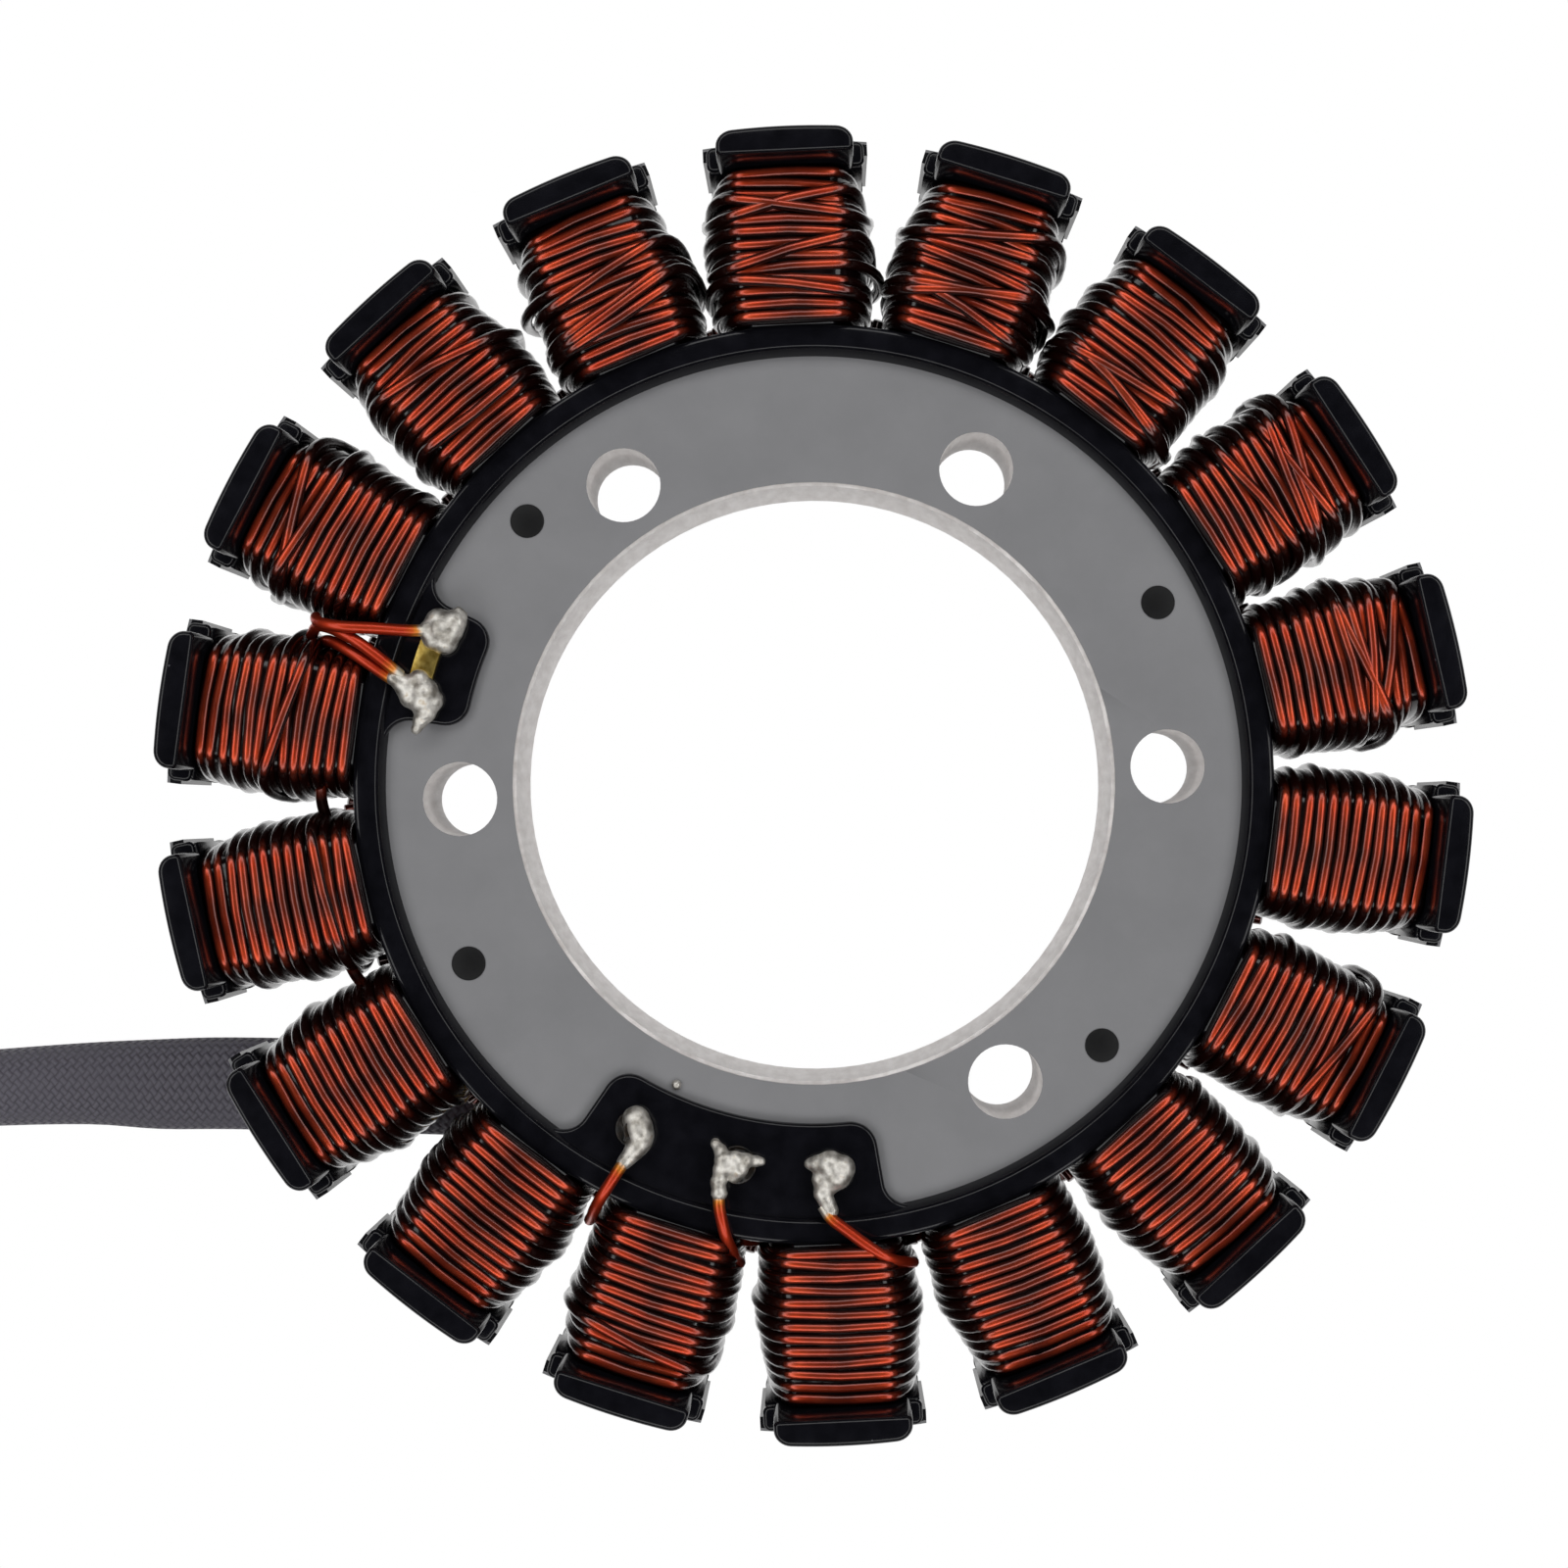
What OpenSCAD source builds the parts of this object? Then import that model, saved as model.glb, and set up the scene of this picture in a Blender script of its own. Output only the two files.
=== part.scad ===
// Wound stator: a stack of steel laminations with poles that point outwards, moulded insulation,
// one coil on each pole, soldered terminals and a sleeved lead that ends in a connector.
// Millimetres, +Z towards the terminal side. The origin is on the bore's axis, at the rear face of the stack.

/* [Core] */
// Diameter of the pilot bore
bore_d = 53; // [51:0.5:54]
// Diameter over the pole faces
pole_od = 115; // [114:0.2:116]
// Thickness of the lamination stack
stack_h = 14; // [12:0.5:16]
// Diameter of the back iron behind the coils
yoke_d = 80; // [79.6:0.1:80.4]
// Width of the steel in a tooth
tooth_w = 6.5; // [6:0.1:6.8]
// Width across a pole shoe
shoe_w = 14.7; // [14.4:0.1:15.2]
// Radial thickness of a pole shoe at its middle
shoe_t = 1.7; // [1.5:0.1:1.9]
// Diameter of the circle of bolt holes
bolt_circle_d = 63; // [62:0.2:64]
// Diameter of a bolt hole
bolt_hole_d = 6.6; // [6.2:0.1:6.8]
// Diameter of the pins that hold the stack together
rivet_d = 3; // [2.6:0.1:3.2]

/* [Insulation] */
// Thickness of the lining on the sides of a tooth
liner_t = 0.8; // [0.7:0.05:0.9]
// Thickness of the moulding over the end faces of a tooth
end_t = 1.5; // [1.2:0.1:1.8]
// Height of the ring above the end face of the stack
ring_h = 1.6; // [1.4:0.1:1.8]
// Width of the ring from its inner edge to the coils
ring_w = 2.75; // [2.5:0.05:3]
// Height of a pole flange above the end face of the stack
cap_h = 7.5; // [7:0.1:8.5]
// Width of a pole flange
cap_w = 12.2; // [11.6:0.1:12.8]
// Thickness of the flange between the coil and the pole shoe
flange_t = 1.2; // [1:0.1:1.4]
// Thickness of a terminal pad
pad_h = 1; // [0.8:0.1:1.2]

/* [Winding] */
// Number of turns side by side on a pole
turns = 13; // [12:1:14]
// Diameter of the enamelled wire
wire_d = 1.06; // [1:0.02:1.1]
// Thickness of the winding at the ends of a pole
build_end = 2.1; // [1.9:0.05:2.2]
// Thickness of the winding at the middle of a pole
build_mid = 3; // [2.8:0.05:3.2]

/* [Terminals and lead] */
// Diameter of an output terminal's pin
pin_d = 1.8; // [1.6:0.1:2]
// Distance of the output terminals inside the edge of the moulded ring
terminal_inset = 6.4; // [6.2:0.1:6.8]
// Outer diameter of one insulated lead wire
lead_wire_d = 2.3; // [2.1:0.1:2.3]
// Diameter of the lead's sleeve where it is round
lead_d = 6.6; // [6.4:0.1:6.8]
// Diameter of the coiled lead at the middle of its turns
lead_coil_d = 72; // [70:0.5:74]

/* [Hidden] */
$fn = 64;
poles = 18;
pole_step = 360 / poles;
half_step = pole_step / 2;
eps = 0.02;                 // clearance between pieces that only touch
cap_setback = 0.2;          // the moulding stays inside the pole faces by this much

// Radii and planes that several pieces share
bore_r = bore_d / 2;
pole_r = pole_od / 2;
yoke_r = yoke_d / 2;
root_r = yoke_r + liner_t;
ring_in_r = root_r - ring_w;
ring_slope_w = 0.75;
shoe_x = pole_r - shoe_t;
flange_x = shoe_x - flange_t;
cap_r = pole_r - cap_setback;
mid_z = stack_h / 2;
front_pad_z = stack_h + pad_h;
sleeve_half_w = tooth_w / 2 + liner_t;
sleeve_half_h = mid_z + end_t;
sleeve_corner_r = 1;

// Angles of the holes, pins and joints round the hub
bolt_angles = [0, 60, 120, 180, 300];
rivet_angles = [25, 135, 205, 315];
rivet_r = 34.6;
rivet_proud = 0.15;
output_angles = [240, 256, 270.5];
neutral_angles = [155, 164.5];
neutral_inset = 4.8;
terminal_r = root_r - terminal_inset;
neutral_r = root_r - neutral_inset;
bush_d = 4;

// The wire lies against the coils in the gaps between poles
wire_r = wire_d / 2;
turn_pitch = (flange_x - root_r) / turns;
lead_wire_r = lead_wire_d / 2;

// Plan of a terminal pad: inner radius, first angle, last angle, corner radius
output_pad = [terminal_r - 4.2, 233, 277.3, 2.4];
neutral_pad = [neutral_r - 4.7, 151.6, 168.6, 2.2];
pad_fillet_r = 2.2;

function polar(r, a, z) = [r * cos(a), r * sin(a), z];
function unit(v) = v / norm(v);

// Thickness of the winding at a distance x from the bore's axis, along the pole
function build_at(x) =
    build_end + (build_mid - build_end) * sin(180 * (x - root_r) / (flange_x - root_r));

// Centre of a wire that lies in the gap at angle a against the coil on one side of it (side -1 or 1)
function beside(x, a, side, z) =
    let (
        pole_a = a + side * half_step,
        y = sleeve_half_w + build_at(x) + wire_r + eps
    )
    [x * cos(pole_a) + side * y * sin(pole_a), x * sin(pole_a) - side * y * cos(pole_a), z];

// Catmull-Rom curve through the points p, with n steps to each span
function curve_at(p, i, t) =
    let (
        last = len(p) - 1,
        a = p[max(i - 1, 0)],
        b = p[i],
        c = p[i + 1],
        d = p[min(i + 2, last)]
    )
    0.5 * (2 * b + (c - a) * t + (2 * a - 5 * b + 4 * c - d) * t * t + (3 * b - a - 3 * c + d) * t * t * t);
function curve(p, n) =
    [for (i = [0 : len(p) - 2], k = [0 : n - 1]) curve_at(p, i, k / n), p[len(p) - 1]];

// Tangents of a path and, from the first side vector on, side vectors carried along it without twist
function tangents(p) =
    [for (i = [0 : len(p) - 1]) unit(p[min(i + 1, len(p) - 1)] - p[max(i - 1, 0)])];
function across(v, t) = unit(v - (v * t) * t);
function sides_along(t, first) =
    [for (i = 0, s = across(first, t[0]); i < len(t); i = i + 1, s = i < len(t) ? across(s, t[i]) : s) s];

// Faces of a closed tube with rings of n points
function tube_faces(rings, n) = concat(
    [[for (j = [0 : n - 1]) j]],
    [for (i = [0 : rings - 2], j = [0 : n - 1])
        let (a = i * n + j, b = i * n + (j + 1) % n)
        each [[a, a + n, b], [b, a + n, b + n]]],
    [[for (j = [n - 1 : -1 : 0]) (rings - 1) * n + j]]
);

// A tube along path; its half width and half thickness are given for each ring
module swept(path, half_w, half_t, n, first_side) {
    t = tangents(path);
    s = sides_along(t, first_side);
    points = [for (i = [0 : len(path) - 1], j = [0 : n - 1])
        let (a = 360 * j / n)
        path[i] + half_w[i] * cos(a) * s[i] + half_t[i] * sin(a) * cross(t[i], s[i])];
    polyhedron(points, tube_faces(len(path), n), convexity = 6);
}

// A round wire along path
module round_wire(path, r, first_side = [0.3, 0.2, 1]) {
    r_list = [for (p = path) r];
    swept(path, r_list, r_list, 8, first_side);
}

// Places a child on each pole, with +X along the pole
module on_each_pole() {
    for (k = [0 : poles - 1]) rotate([0, 0, half_step + k * pole_step]) children();
}

// A block of a ring: radii r0 to r1, angles a0 to a1, thickness h
module ring_block(r0, r1, a0, a1, h) {
    rotate([0, 0, a0]) rotate_extrude(angle = a1 - a0) translate([r0, 0]) square([r1 - r0, h]);
}

// Laminated core

module pole_plan() {
    translate([yoke_r - 1, -tooth_w / 2]) square([shoe_x - yoke_r + 1.5, tooth_w]);
    intersection() {
        circle(pole_r, $fn = 180);
        translate([shoe_x, -shoe_w / 2]) square([shoe_t + 1, shoe_w]);
    }
}

module lamination_core() {
    chamfer = 0.3;
    color("#7E7E80")
    difference() {
        linear_extrude(stack_h) difference() {
            union() {
                circle(yoke_r, $fn = 180);
                on_each_pole() pole_plan();
            }
            circle(bore_r, $fn = 180);
            for (a = bolt_angles) rotate(a) translate([bolt_circle_d / 2, 0]) circle(d = bolt_hole_d);
            for (a = rivet_angles) rotate(a) translate([rivet_r, 0]) circle(d = rivet_d);
            for (a = output_angles) rotate(a) translate([terminal_r, 0]) circle(d = bush_d);
        }
        translate([0, 0, stack_h - chamfer])
            cylinder(h = 2 * chamfer, r1 = bore_r, r2 = bore_r + 2 * chamfer, $fn = 180);
    }
}

module core_rivets() {
    color("#1B1B1E")
    for (a = rivet_angles) rotate(a) translate([rivet_r, 0, -rivet_proud])
        cylinder(d = rivet_d, h = stack_h + 2 * rivet_proud);
}

// Moulded insulation: each half lines the teeth from the middle of the stack to one end face

// Section of the ring and of the lining behind the coils, from the middle of the stack
module ring_section() {
    top_r = 0.4;
    polygon([
        [yoke_r, 0], [root_r, 0], [root_r, mid_z + ring_h - top_r], [root_r - top_r, mid_z + ring_h],
        [ring_in_r + ring_slope_w, mid_z + ring_h], [ring_in_r + 0.35, mid_z + 0.75 * ring_h],
        [ring_in_r, mid_z], [yoke_r, mid_z]
    ]);
}

// Section of the lining on a tooth, with rounded edges for the wire to bend over
module sleeve_section() {
    r = sleeve_corner_r;
    translate([-sleeve_half_w, 0]) square([2 * sleeve_half_w, sleeve_half_h - r]);
    translate([-sleeve_half_w + r, 0]) square([2 * (sleeve_half_w - r), sleeve_half_h]);
    for (s = [-1, 1]) translate([s * (sleeve_half_w - r), sleeve_half_h - r]) circle(r, $fn = 32);
}

// Plan of the tall flange at the tip of a pole: straight towards the coil, round outside
module cap_plan() {
    r = 1.6;
    y = cap_w / 2 - r;
    x = sqrt((cap_r - r) * (cap_r - r) - y * y);
    intersection() {
        circle(cap_r, $fn = 180);
        translate([flange_x, -y]) square([cap_r, 2 * y]);
    }
    translate([flange_x, -cap_w / 2]) square([x - flange_x, cap_w]);
    intersection() {
        for (s = [-1, 1]) translate([x, s * y]) circle(r, $fn = 32);
        translate([flange_x, -cap_w / 2]) square([cap_r, cap_w]);
    }
}

module pole_insulation() {
    flange_w = shoe_w - 1;
    lip_w = shoe_w - 0.6;
    lip_h = 0.9;
    sleeve_x = root_r - liner_t / 2;
    translate([sleeve_x, 0, 0]) rotate([90, 0, 90])
        linear_extrude(flange_x + flange_t / 2 - sleeve_x) sleeve_section();
    translate([flange_x, -flange_w / 2, 0]) cube([flange_t, flange_w, mid_z + lip_h / 2]);
    translate([0, 0, mid_z]) linear_extrude(lip_h) intersection() {
        circle(cap_r - cap_setback, $fn = 180);
        translate([flange_x + cap_setback, -lip_w / 2]) square([cap_r, lip_w]);
    }
    translate([0, 0, mid_z]) linear_extrude(cap_h) cap_plan();
}

// Points of an arc about c, from angle a0 to a1
function arc(c, r, a0, a1, n) =
    [for (i = [0 : n]) let (a = a0 + (a1 - a0) * i / n) [c[0] + r * cos(a), c[1] + r * sin(a)]];

// Outline of a terminal pad that grows out of the ring: fillet, corner, inner edge, corner, fillet
function pad_outline(plan) =
    let (
        r_in = plan[0],
        a0 = plan[1],
        a1 = plan[2],
        r = plan[3],
        corner_a = asin(r / (r_in + r)),
        fillet_at = ring_in_r + 0.25 - pad_fillet_r,
        fillet_a = asin(pad_fillet_r / fillet_at),
        r_out = ring_in_r + 0.6
    )
    concat(
        arc(polar(fillet_at, a0 - fillet_a, 0), pad_fillet_r, a0 - fillet_a, a0 + 90, 8),
        arc(polar(r_in + r, a0 + corner_a, 0), r, a0 - 90, a0 + corner_a - 180, 8),
        arc([0, 0], r_in, a0 + corner_a + 1, a1 - corner_a - 1, 16),
        arc(polar(r_in + r, a1 - corner_a, 0), r, a1 - corner_a + 180, a1 + 90, 8),
        arc(polar(fillet_at, a1 + fillet_a, 0), pad_fillet_r, a1 - 90, a1 + fillet_a, 8),
        arc([0, 0], r_out, a1 + fillet_a, a0 - fillet_a, 16)
    );

module pad(plan) {
    linear_extrude(pad_h) polygon(pad_outline(plan));
}

// One half of the insulation, from the middle of the stack (z = 0) to the tops of the flanges
module insulation_half(pads) {
    difference() {
        union() {
            rotate_extrude($fn = 180) ring_section();
            on_each_pole() pole_insulation();
            for (p = pads) translate([0, 0, mid_z]) pad(p);
        }
        on_each_pole() translate([yoke_r - liner_t, -tooth_w / 2, -1])
            cube([shoe_x - yoke_r + 2, tooth_w, mid_z + 1]);
    }
}

module front_insulator() {
    color("#17171B")
    difference() {
        union() {
            translate([0, 0, mid_z]) insulation_half([output_pad, neutral_pad]);
            for (a = output_angles) rotate(a) translate([terminal_r, 0, 0])
                cylinder(d = bush_d, h = stack_h + pad_h / 2);
        }
        for (a = output_angles) rotate(a) translate([terminal_r, 0, -1])
            cylinder(d = pin_d, h = stack_h + pad_h + 2);
    }
}

module rear_insulator() {
    color("#17171B")
    difference() {
        translate([0, 0, mid_z]) mirror([0, 0, 1]) insulation_half([output_pad]);
        for (a = output_angles) rotate(a) translate([terminal_r, 0, -pad_h - 1])
            cylinder(d = pin_d, h = pad_h + 2);
    }
}

// Coils: the turns of one coil are one solid, a ridged section led round the lined tooth

// Section of the winding: x outwards from the lining, y along the pole, with one ridge for each turn
module winding_section() {
    ridge_r = 0.49 * turn_pitch;
    groove = 0.6 * ridge_r;
    polygon(concat(
        [[0, 0]],
        [for (i = [0 : turns]) [build_at(root_r + i * turn_pitch) - groove, i * turn_pitch]],
        [[0, turns * turn_pitch]]
    ));
    for (i = [0.5 : turns - 0.5])
        translate([build_at(root_r + i * turn_pitch) - ridge_r, i * turn_pitch]) circle(ridge_r, $fn = 24);
}

// The winding with the pole along +Z: straight runs and quarter bends
module winding() {
    r = sleeve_corner_r;
    x = sleeve_half_w - r;
    y = sleeve_half_h - r;
    for (s = [0, 180]) rotate(s) {
        translate([x + r, y, 0]) rotate([90, 0, 0]) linear_extrude(2 * y) winding_section();
        translate([-x, y + r, 0]) rotate([90, 0, 90]) linear_extrude(2 * x) winding_section();
        for (corner = [[x, 0], [-x, 90]]) translate([corner[0], y, 0]) rotate(corner[1])
            rotate_extrude(angle = 90, $fn = 48) translate([r, 0]) winding_section();
    }
}

module coil(k) {
    color("#B5351F")
    rotate([0, 0, half_step + (k - 1) * pole_step])
        translate([root_r, 0, mid_z]) rotate([90, 0, 90]) winding();
}

// Terminals, star-point link and their solder

washer_d = 3.4;
washer_h = 0.5;
pin_proud = 2;

module output_terminal(i) {
    tab = [2.6, 0.7, 1.4];
    color("#C9A24A")
    rotate(output_angles[i]) translate([terminal_r, 0, 0]) {
        translate([0, 0, -pad_h - pin_proud]) cylinder(d = pin_d, h = stack_h + 2 * (pad_h + pin_proud));
        translate([0, 0, front_pad_z]) cylinder(d = washer_d, h = washer_h);
        translate([-tab[0] / 2, -tab[1] / 2, front_pad_z]) cube(tab);
        translate([0, 0, -pad_h - washer_h]) cylinder(d = washer_d, h = washer_h);
    }
}

link_w = 2;
link_t = 0.8;
hook_h = 1.9;

module neutral_link() {
    a0 = neutral_angles[0];
    a1 = neutral_angles[1];
    color("#C9A24A")
    translate([0, 0, front_pad_z]) {
        ring_block(neutral_r - link_w / 2, neutral_r + link_w / 2, a0, a1, link_t);
        for (a = neutral_angles) rotate(a) translate([neutral_r - link_w / 2, -link_t / 2, 0])
            cube([link_w, link_t, hook_h]);
    }
}

// Solder is the top of a ball that stands on a terminal: radius of the ball, height of its top above the base
output_dome = [1.9, 2];
neutral_dome = [2, 1.8];
rear_dome = [1.9, 1.9];
output_base_z = front_pad_z + washer_h;
neutral_base_z = front_pad_z + link_t;
rear_base_z = -pad_h - washer_h;

function output_ball(i) =
    polar(terminal_r, output_angles[i], output_base_z + output_dome[1] - output_dome[0]);
function neutral_ball(i) =
    polar(neutral_r, neutral_angles[i], neutral_base_z + neutral_dome[1] - neutral_dome[0]);
function rear_ball(i) =
    polar(terminal_r, output_angles[i], rear_base_z - rear_dome[1] + rear_dome[0]);

module solder_dome(dome) {
    r = dome[0];
    intersection() {
        translate([0, 0, dome[1] - r]) sphere(r);
        translate([-r, -r, 0]) cube([2 * r, 2 * r, dome[1] + 1]);
    }
}

module output_joint(i) {
    color("#C8C8C4")
    difference() {
        translate(polar(terminal_r, output_angles[i], output_base_z)) solder_dome(output_dome);
        output_terminal(i);
    }
}

module neutral_joint(i) {
    color("#C8C8C4")
    difference() {
        translate(polar(neutral_r, neutral_angles[i], neutral_base_z)) solder_dome(neutral_dome);
        neutral_link();
    }
}

module rear_solder_joints() {
    color("#C8C8C4")
    for (i = [0 : 2]) difference() {
        translate(polar(terminal_r, output_angles[i], rear_base_z)) mirror([0, 0, 1]) solder_dome(rear_dome);
        output_terminal(i);
    }
}

// Coil ends, as [distance beyond the ring's edge, angle, height above the front face] from the solder to the
// gap between two coils, and the place where each lies against a coil, as [distance beyond the ring's edge,
// angle of the gap, side, height]

output_tail_routes = [
    [[-3.4, 240.3, 2.9], [-0.8, 240.3, 2.7], [1, 240, 1.2]],
    [[-3.4, 255.2, 2.9], [-1.2, 256.6, 2.9], [0.6, 259.8, 1.8], [1.6, 260, 0.6]],
    [[-3.4, 270.8, 2.9], [-1.2, 274.4, 2.9], [0.4, 279.6, 1.8], [1.4, 280, 0.6]]
];
output_tail_ends = [[2.6, 240, -1, -1.5], [3, 260, -1, -1.5], [2.8, 280, -1, -1.5]];
neutral_tail_routes = [
    [[-1.6, 157, 3.6], [0.6, 159.7, 4.6], [3.2, 160, 4]],
    [[-1.8, 162.5, 3.3], [0.6, 160.2, 3.4], [2.2, 160, 2.2]],
    [[-2, 165.2, 2.3], [0.2, 160.5, 2.2], [1.2, 160, 0.9]]
];
neutral_tail_ends = [[5.2, 160, -1, 1.4], [3.8, 160, 1, -0.4], [2.4, 160, -1, -2]];

// A path that starts square on a ball of solder and goes on through the points p
function from_ball(ball, r, p, step = 0.6) =
    concat([for (d = [r + eps, r + step]) ball + d * unit(p[0] - ball)], p);
function tail_path(ball, r, route, end) =
    curve(from_ball(ball, r, concat(
        [for (p = route) polar(root_r + p[0], p[1], stack_h + p[2])],
        [beside(root_r + end[0], end[1], end[2], stack_h + end[3])]
    )), 4);

module output_tail(i) {
    color("#B5351F")
    round_wire(tail_path(output_ball(i), output_dome[0], output_tail_routes[i], output_tail_ends[i]), wire_r);
}

module neutral_tail(i) {
    ball = neutral_ball(i == 0 ? 0 : 1);
    color("#B5351F")
    round_wire(tail_path(ball, neutral_dome[0], neutral_tail_routes[i], neutral_tail_ends[i]), wire_r);
}

// Short wires from one coil to the next, as [distance beyond the ring's edge, angle of the gap, height above
// the front face]
crossover_places = [[3, 180, -1.6], [3.4, 200, -1.6], [0.6, 260, -4.8], [0.9, 280, -4.8]];

module coil_crossovers() {
    color("#B5351F")
    for (p = crossover_places)
        round_wire(curve([
            beside(root_r + p[0] + 0.6, p[1], -1, stack_h + p[2] + 1.6),
            polar(root_r + p[0] + 0.3, p[1], stack_h + p[2]),
            beside(root_r + p[0], p[1], 1, stack_h + p[2] - 1.6)
        ], 4), wire_r);
}

// Wires between the coils of one phase: three layers on the rear ring, from each coil to the third after it
jumper_r = root_r - 0.8;
jumper_end_r = root_r + 0.8;
jumper_side_x = root_r + 2.6;

function jumper_path(phase, k) =
    let (
        z = -ring_h - wire_r - eps - phase * (wire_d + 2 * eps),
        a0 = (phase + 3 * k + 1) * pole_step,
        a1 = a0 + 2 * pole_step
    )
    concat(
        [beside(jumper_side_x, a0, -1, z + 1), polar(jumper_end_r, a0, z)],
        [for (a = [a0 + 1 : 4.75 : a1 - 0.9]) polar(jumper_r, a, z)],
        [polar(jumper_end_r, a1, z), beside(jumper_side_x, a1, 1, z + 1)]
    );

module phase_jumpers(phase) {
    color("#B5351F") for (k = [0 : 4]) round_wire(jumper_path(phase, k), wire_r);
}

// Lead: three wires from the rear joints into a woven sleeve, which is coiled and ends in a connector

// Height of the sleeve's underside and of its middle where it runs flat under the poles
lead_flat_t = 3.6;
lead_floor_z = -cap_h - lead_flat_t - eps;
lead_flat_z = lead_floor_z + lead_flat_t / 2;
lead_round_z = lead_floor_z + lead_d / 2;

// Route of the sleeve from the stator to the coil: x, y, width, and height of its middle above the floor
// that it lies on
sleeve_route = [
    [-33, -28, 8.6, 1.8], [-45, -27.5, 9.2, 1.8], [-57, -27, 9.2, 1.8], [-70, -26.5, 8.6, 1.9],
    [-82, -26, 7.6, 2.5], [-95, -26, 6.8, 3.3], [-111, -26, 6.6, 3.3], [-127, -26, 6.6, 3.3]
];
sleeve_start = [sleeve_route[0][0], sleeve_route[0][1], lead_flat_z];
sleeve_dir = unit([sleeve_route[1][0] - sleeve_route[0][0], sleeve_route[1][1] - sleeve_route[0][1], 0]);
sleeve_side = [sleeve_dir[1], -sleeve_dir[0], 0];

// Points of the lead wires between the joint and the sleeve, with the height as a share of the drop
// to the sleeve
lead_wire_routes = [
    [[-22.4, -28.2, 0.4], [-26.6, -26.5, 0.8], [-29.8, -25.8, 0.96]],
    [[-14, -33.4, 0.25], [-20, -31.8, 0.5], [-27, -29.2, 0.85], [-30, -28.4, 0.95]],
    [[-6, -36.4, 0.25], [-13, -36, 0.5], [-20, -34.3, 0.65], [-27, -31.8, 0.85], [-30, -30.9, 0.95]]
];
lead_wire_pitch = 2.4;

function lead_wire_path(i) =
    let (z0 = rear_base_z - rear_dome[1], drop = lead_flat_z - z0)
    curve(from_ball(rear_ball(i), rear_dome[0], concat(
        [for (p = lead_wire_routes[i]) [p[0], p[1], z0 + p[2] * drop]],
        [for (back = [2, 1, eps]) sleeve_start + (1 - i) * lead_wire_pitch * sleeve_side - back * sleeve_dir]
    ), lead_wire_r * 1.6), 3);

module lead_wire(i) {
    color("#D9B62C") round_wire(lead_wire_path(i), lead_wire_r);
}

module lead_sleeve() {
    path = curve([for (p = sleeve_route) [p[0], p[1], lead_floor_z + p[3]]], 2);
    sizes = curve([for (p = sleeve_route) [p[2] / 2, p[3], 0]], 2);
    color("#4F4C56")
    swept(path, [for (s = sizes) s[0]], [for (s = sizes) s[1]], 12, [0, 1, 0]);
}

// The coil starts where the sleeve ends and stops short of a full ring, clear of the sleeve
lead_coil_r = lead_coil_d / 2;
coil_x = sleeve_route[len(sleeve_route) - 1][0];
coil_y = sleeve_route[len(sleeve_route) - 1][1] + lead_coil_r;
coil_gap = 35;
coil_layers = 2;

module lead_coil() {
    color("#4F4C56")
    translate([coil_x, coil_y, lead_round_z]) rotate(-90 + coil_gap)
    rotate_extrude(angle = 360 - coil_gap, $fn = 96) {
        for (k = [0 : coil_layers - 1]) translate([lead_coil_r, k * lead_d]) circle(d = lead_d, $fn = 32);
        translate([lead_coil_r - 0.4 * lead_d, 0]) square([0.8 * lead_d, (coil_layers - 1) * lead_d]);
    }
}

module lead_tie() {
    band_t = 0.9;
    band_w = 4;
    slack = 0.08;
    h = coil_layers * lead_d;
    color("#202024")
    translate([coil_x, coil_y + lead_coil_r, lead_floor_z + h / 2]) difference() {
        translate([-band_w / 2, -lead_d / 2 - band_t, -h / 2])
            cube([band_w, lead_d + 2 * band_t, h + band_t]);
        translate([-band_w, -lead_d / 2 - slack, -h]) cube([2 * band_w, lead_d + 2 * slack, 1.5 * h + eps]);
    }
}

// Route of the sleeve from the coil's upper layer down to the connector: x, y and height above the floor
tail_route = [
    [-118, -27.8, 9.9], [-130, -37, 7.5], [-142, -43, 4],
    [-149, -44, 3.3], [-153, -44, 3.3], [-156, -44, 3.3]
];

module lead_tail() {
    a = -90 + coil_gap;
    start = [coil_x + lead_coil_r * cos(a), coil_y + lead_coil_r * sin(a), lead_floor_z + 1.5 * lead_d];
    heading = [sin(a), -cos(a), 0];
    path = curve(concat(
        [for (d = [eps, 1.5, 3]) start + d * heading],
        [for (p = tail_route) [p[0], p[1], lead_floor_z + p[2]]]
    ), 3);
    r_list = [for (p = path) lead_d / 2];
    color("#4F4C56") swept(path, r_list, r_list, 12, [0, 0, 1]);
}

// Connector: a three-way housing with a latch, and its blades
tail_end_x = -156;
housing_x = -168;
housing_y = -44;
housing_size = [24, 20, 10];
housing_end_x = housing_x - housing_size[0];
way_z = lead_floor_z + housing_size[2] / 2;
way_pitch = 6;
cavity = [14, 5, 4];
blade = [12, 3.2, 0.8];
blade_inset = 2;
barrel_d = lead_wire_d + 0.6;
barrel_l = 4;

module connector_housing() {
    color("#E6E2D6")
    translate([housing_end_x, housing_y, lead_floor_z]) difference() {
        union() {
            translate([0, -housing_size[1] / 2, 0]) cube(housing_size);
            translate([8, -3, housing_size[2]]) cube([12, 6, 1.2]);
            translate([8, -3, housing_size[2]]) cube([2, 6, 2.2]);
        }
        for (k = [-1 : 1]) translate([-1, k * way_pitch - cavity[1] / 2, housing_size[2] / 2 - cavity[2] / 2])
            cube([cavity[0] + 1, cavity[1], cavity[2]]);
        for (k = [-1 : 1]) translate([cavity[0] - 1, k * way_pitch, housing_size[2] / 2]) rotate([0, 90, 0])
            cylinder(d = barrel_d, h = housing_size[0]);
    }
}

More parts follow.
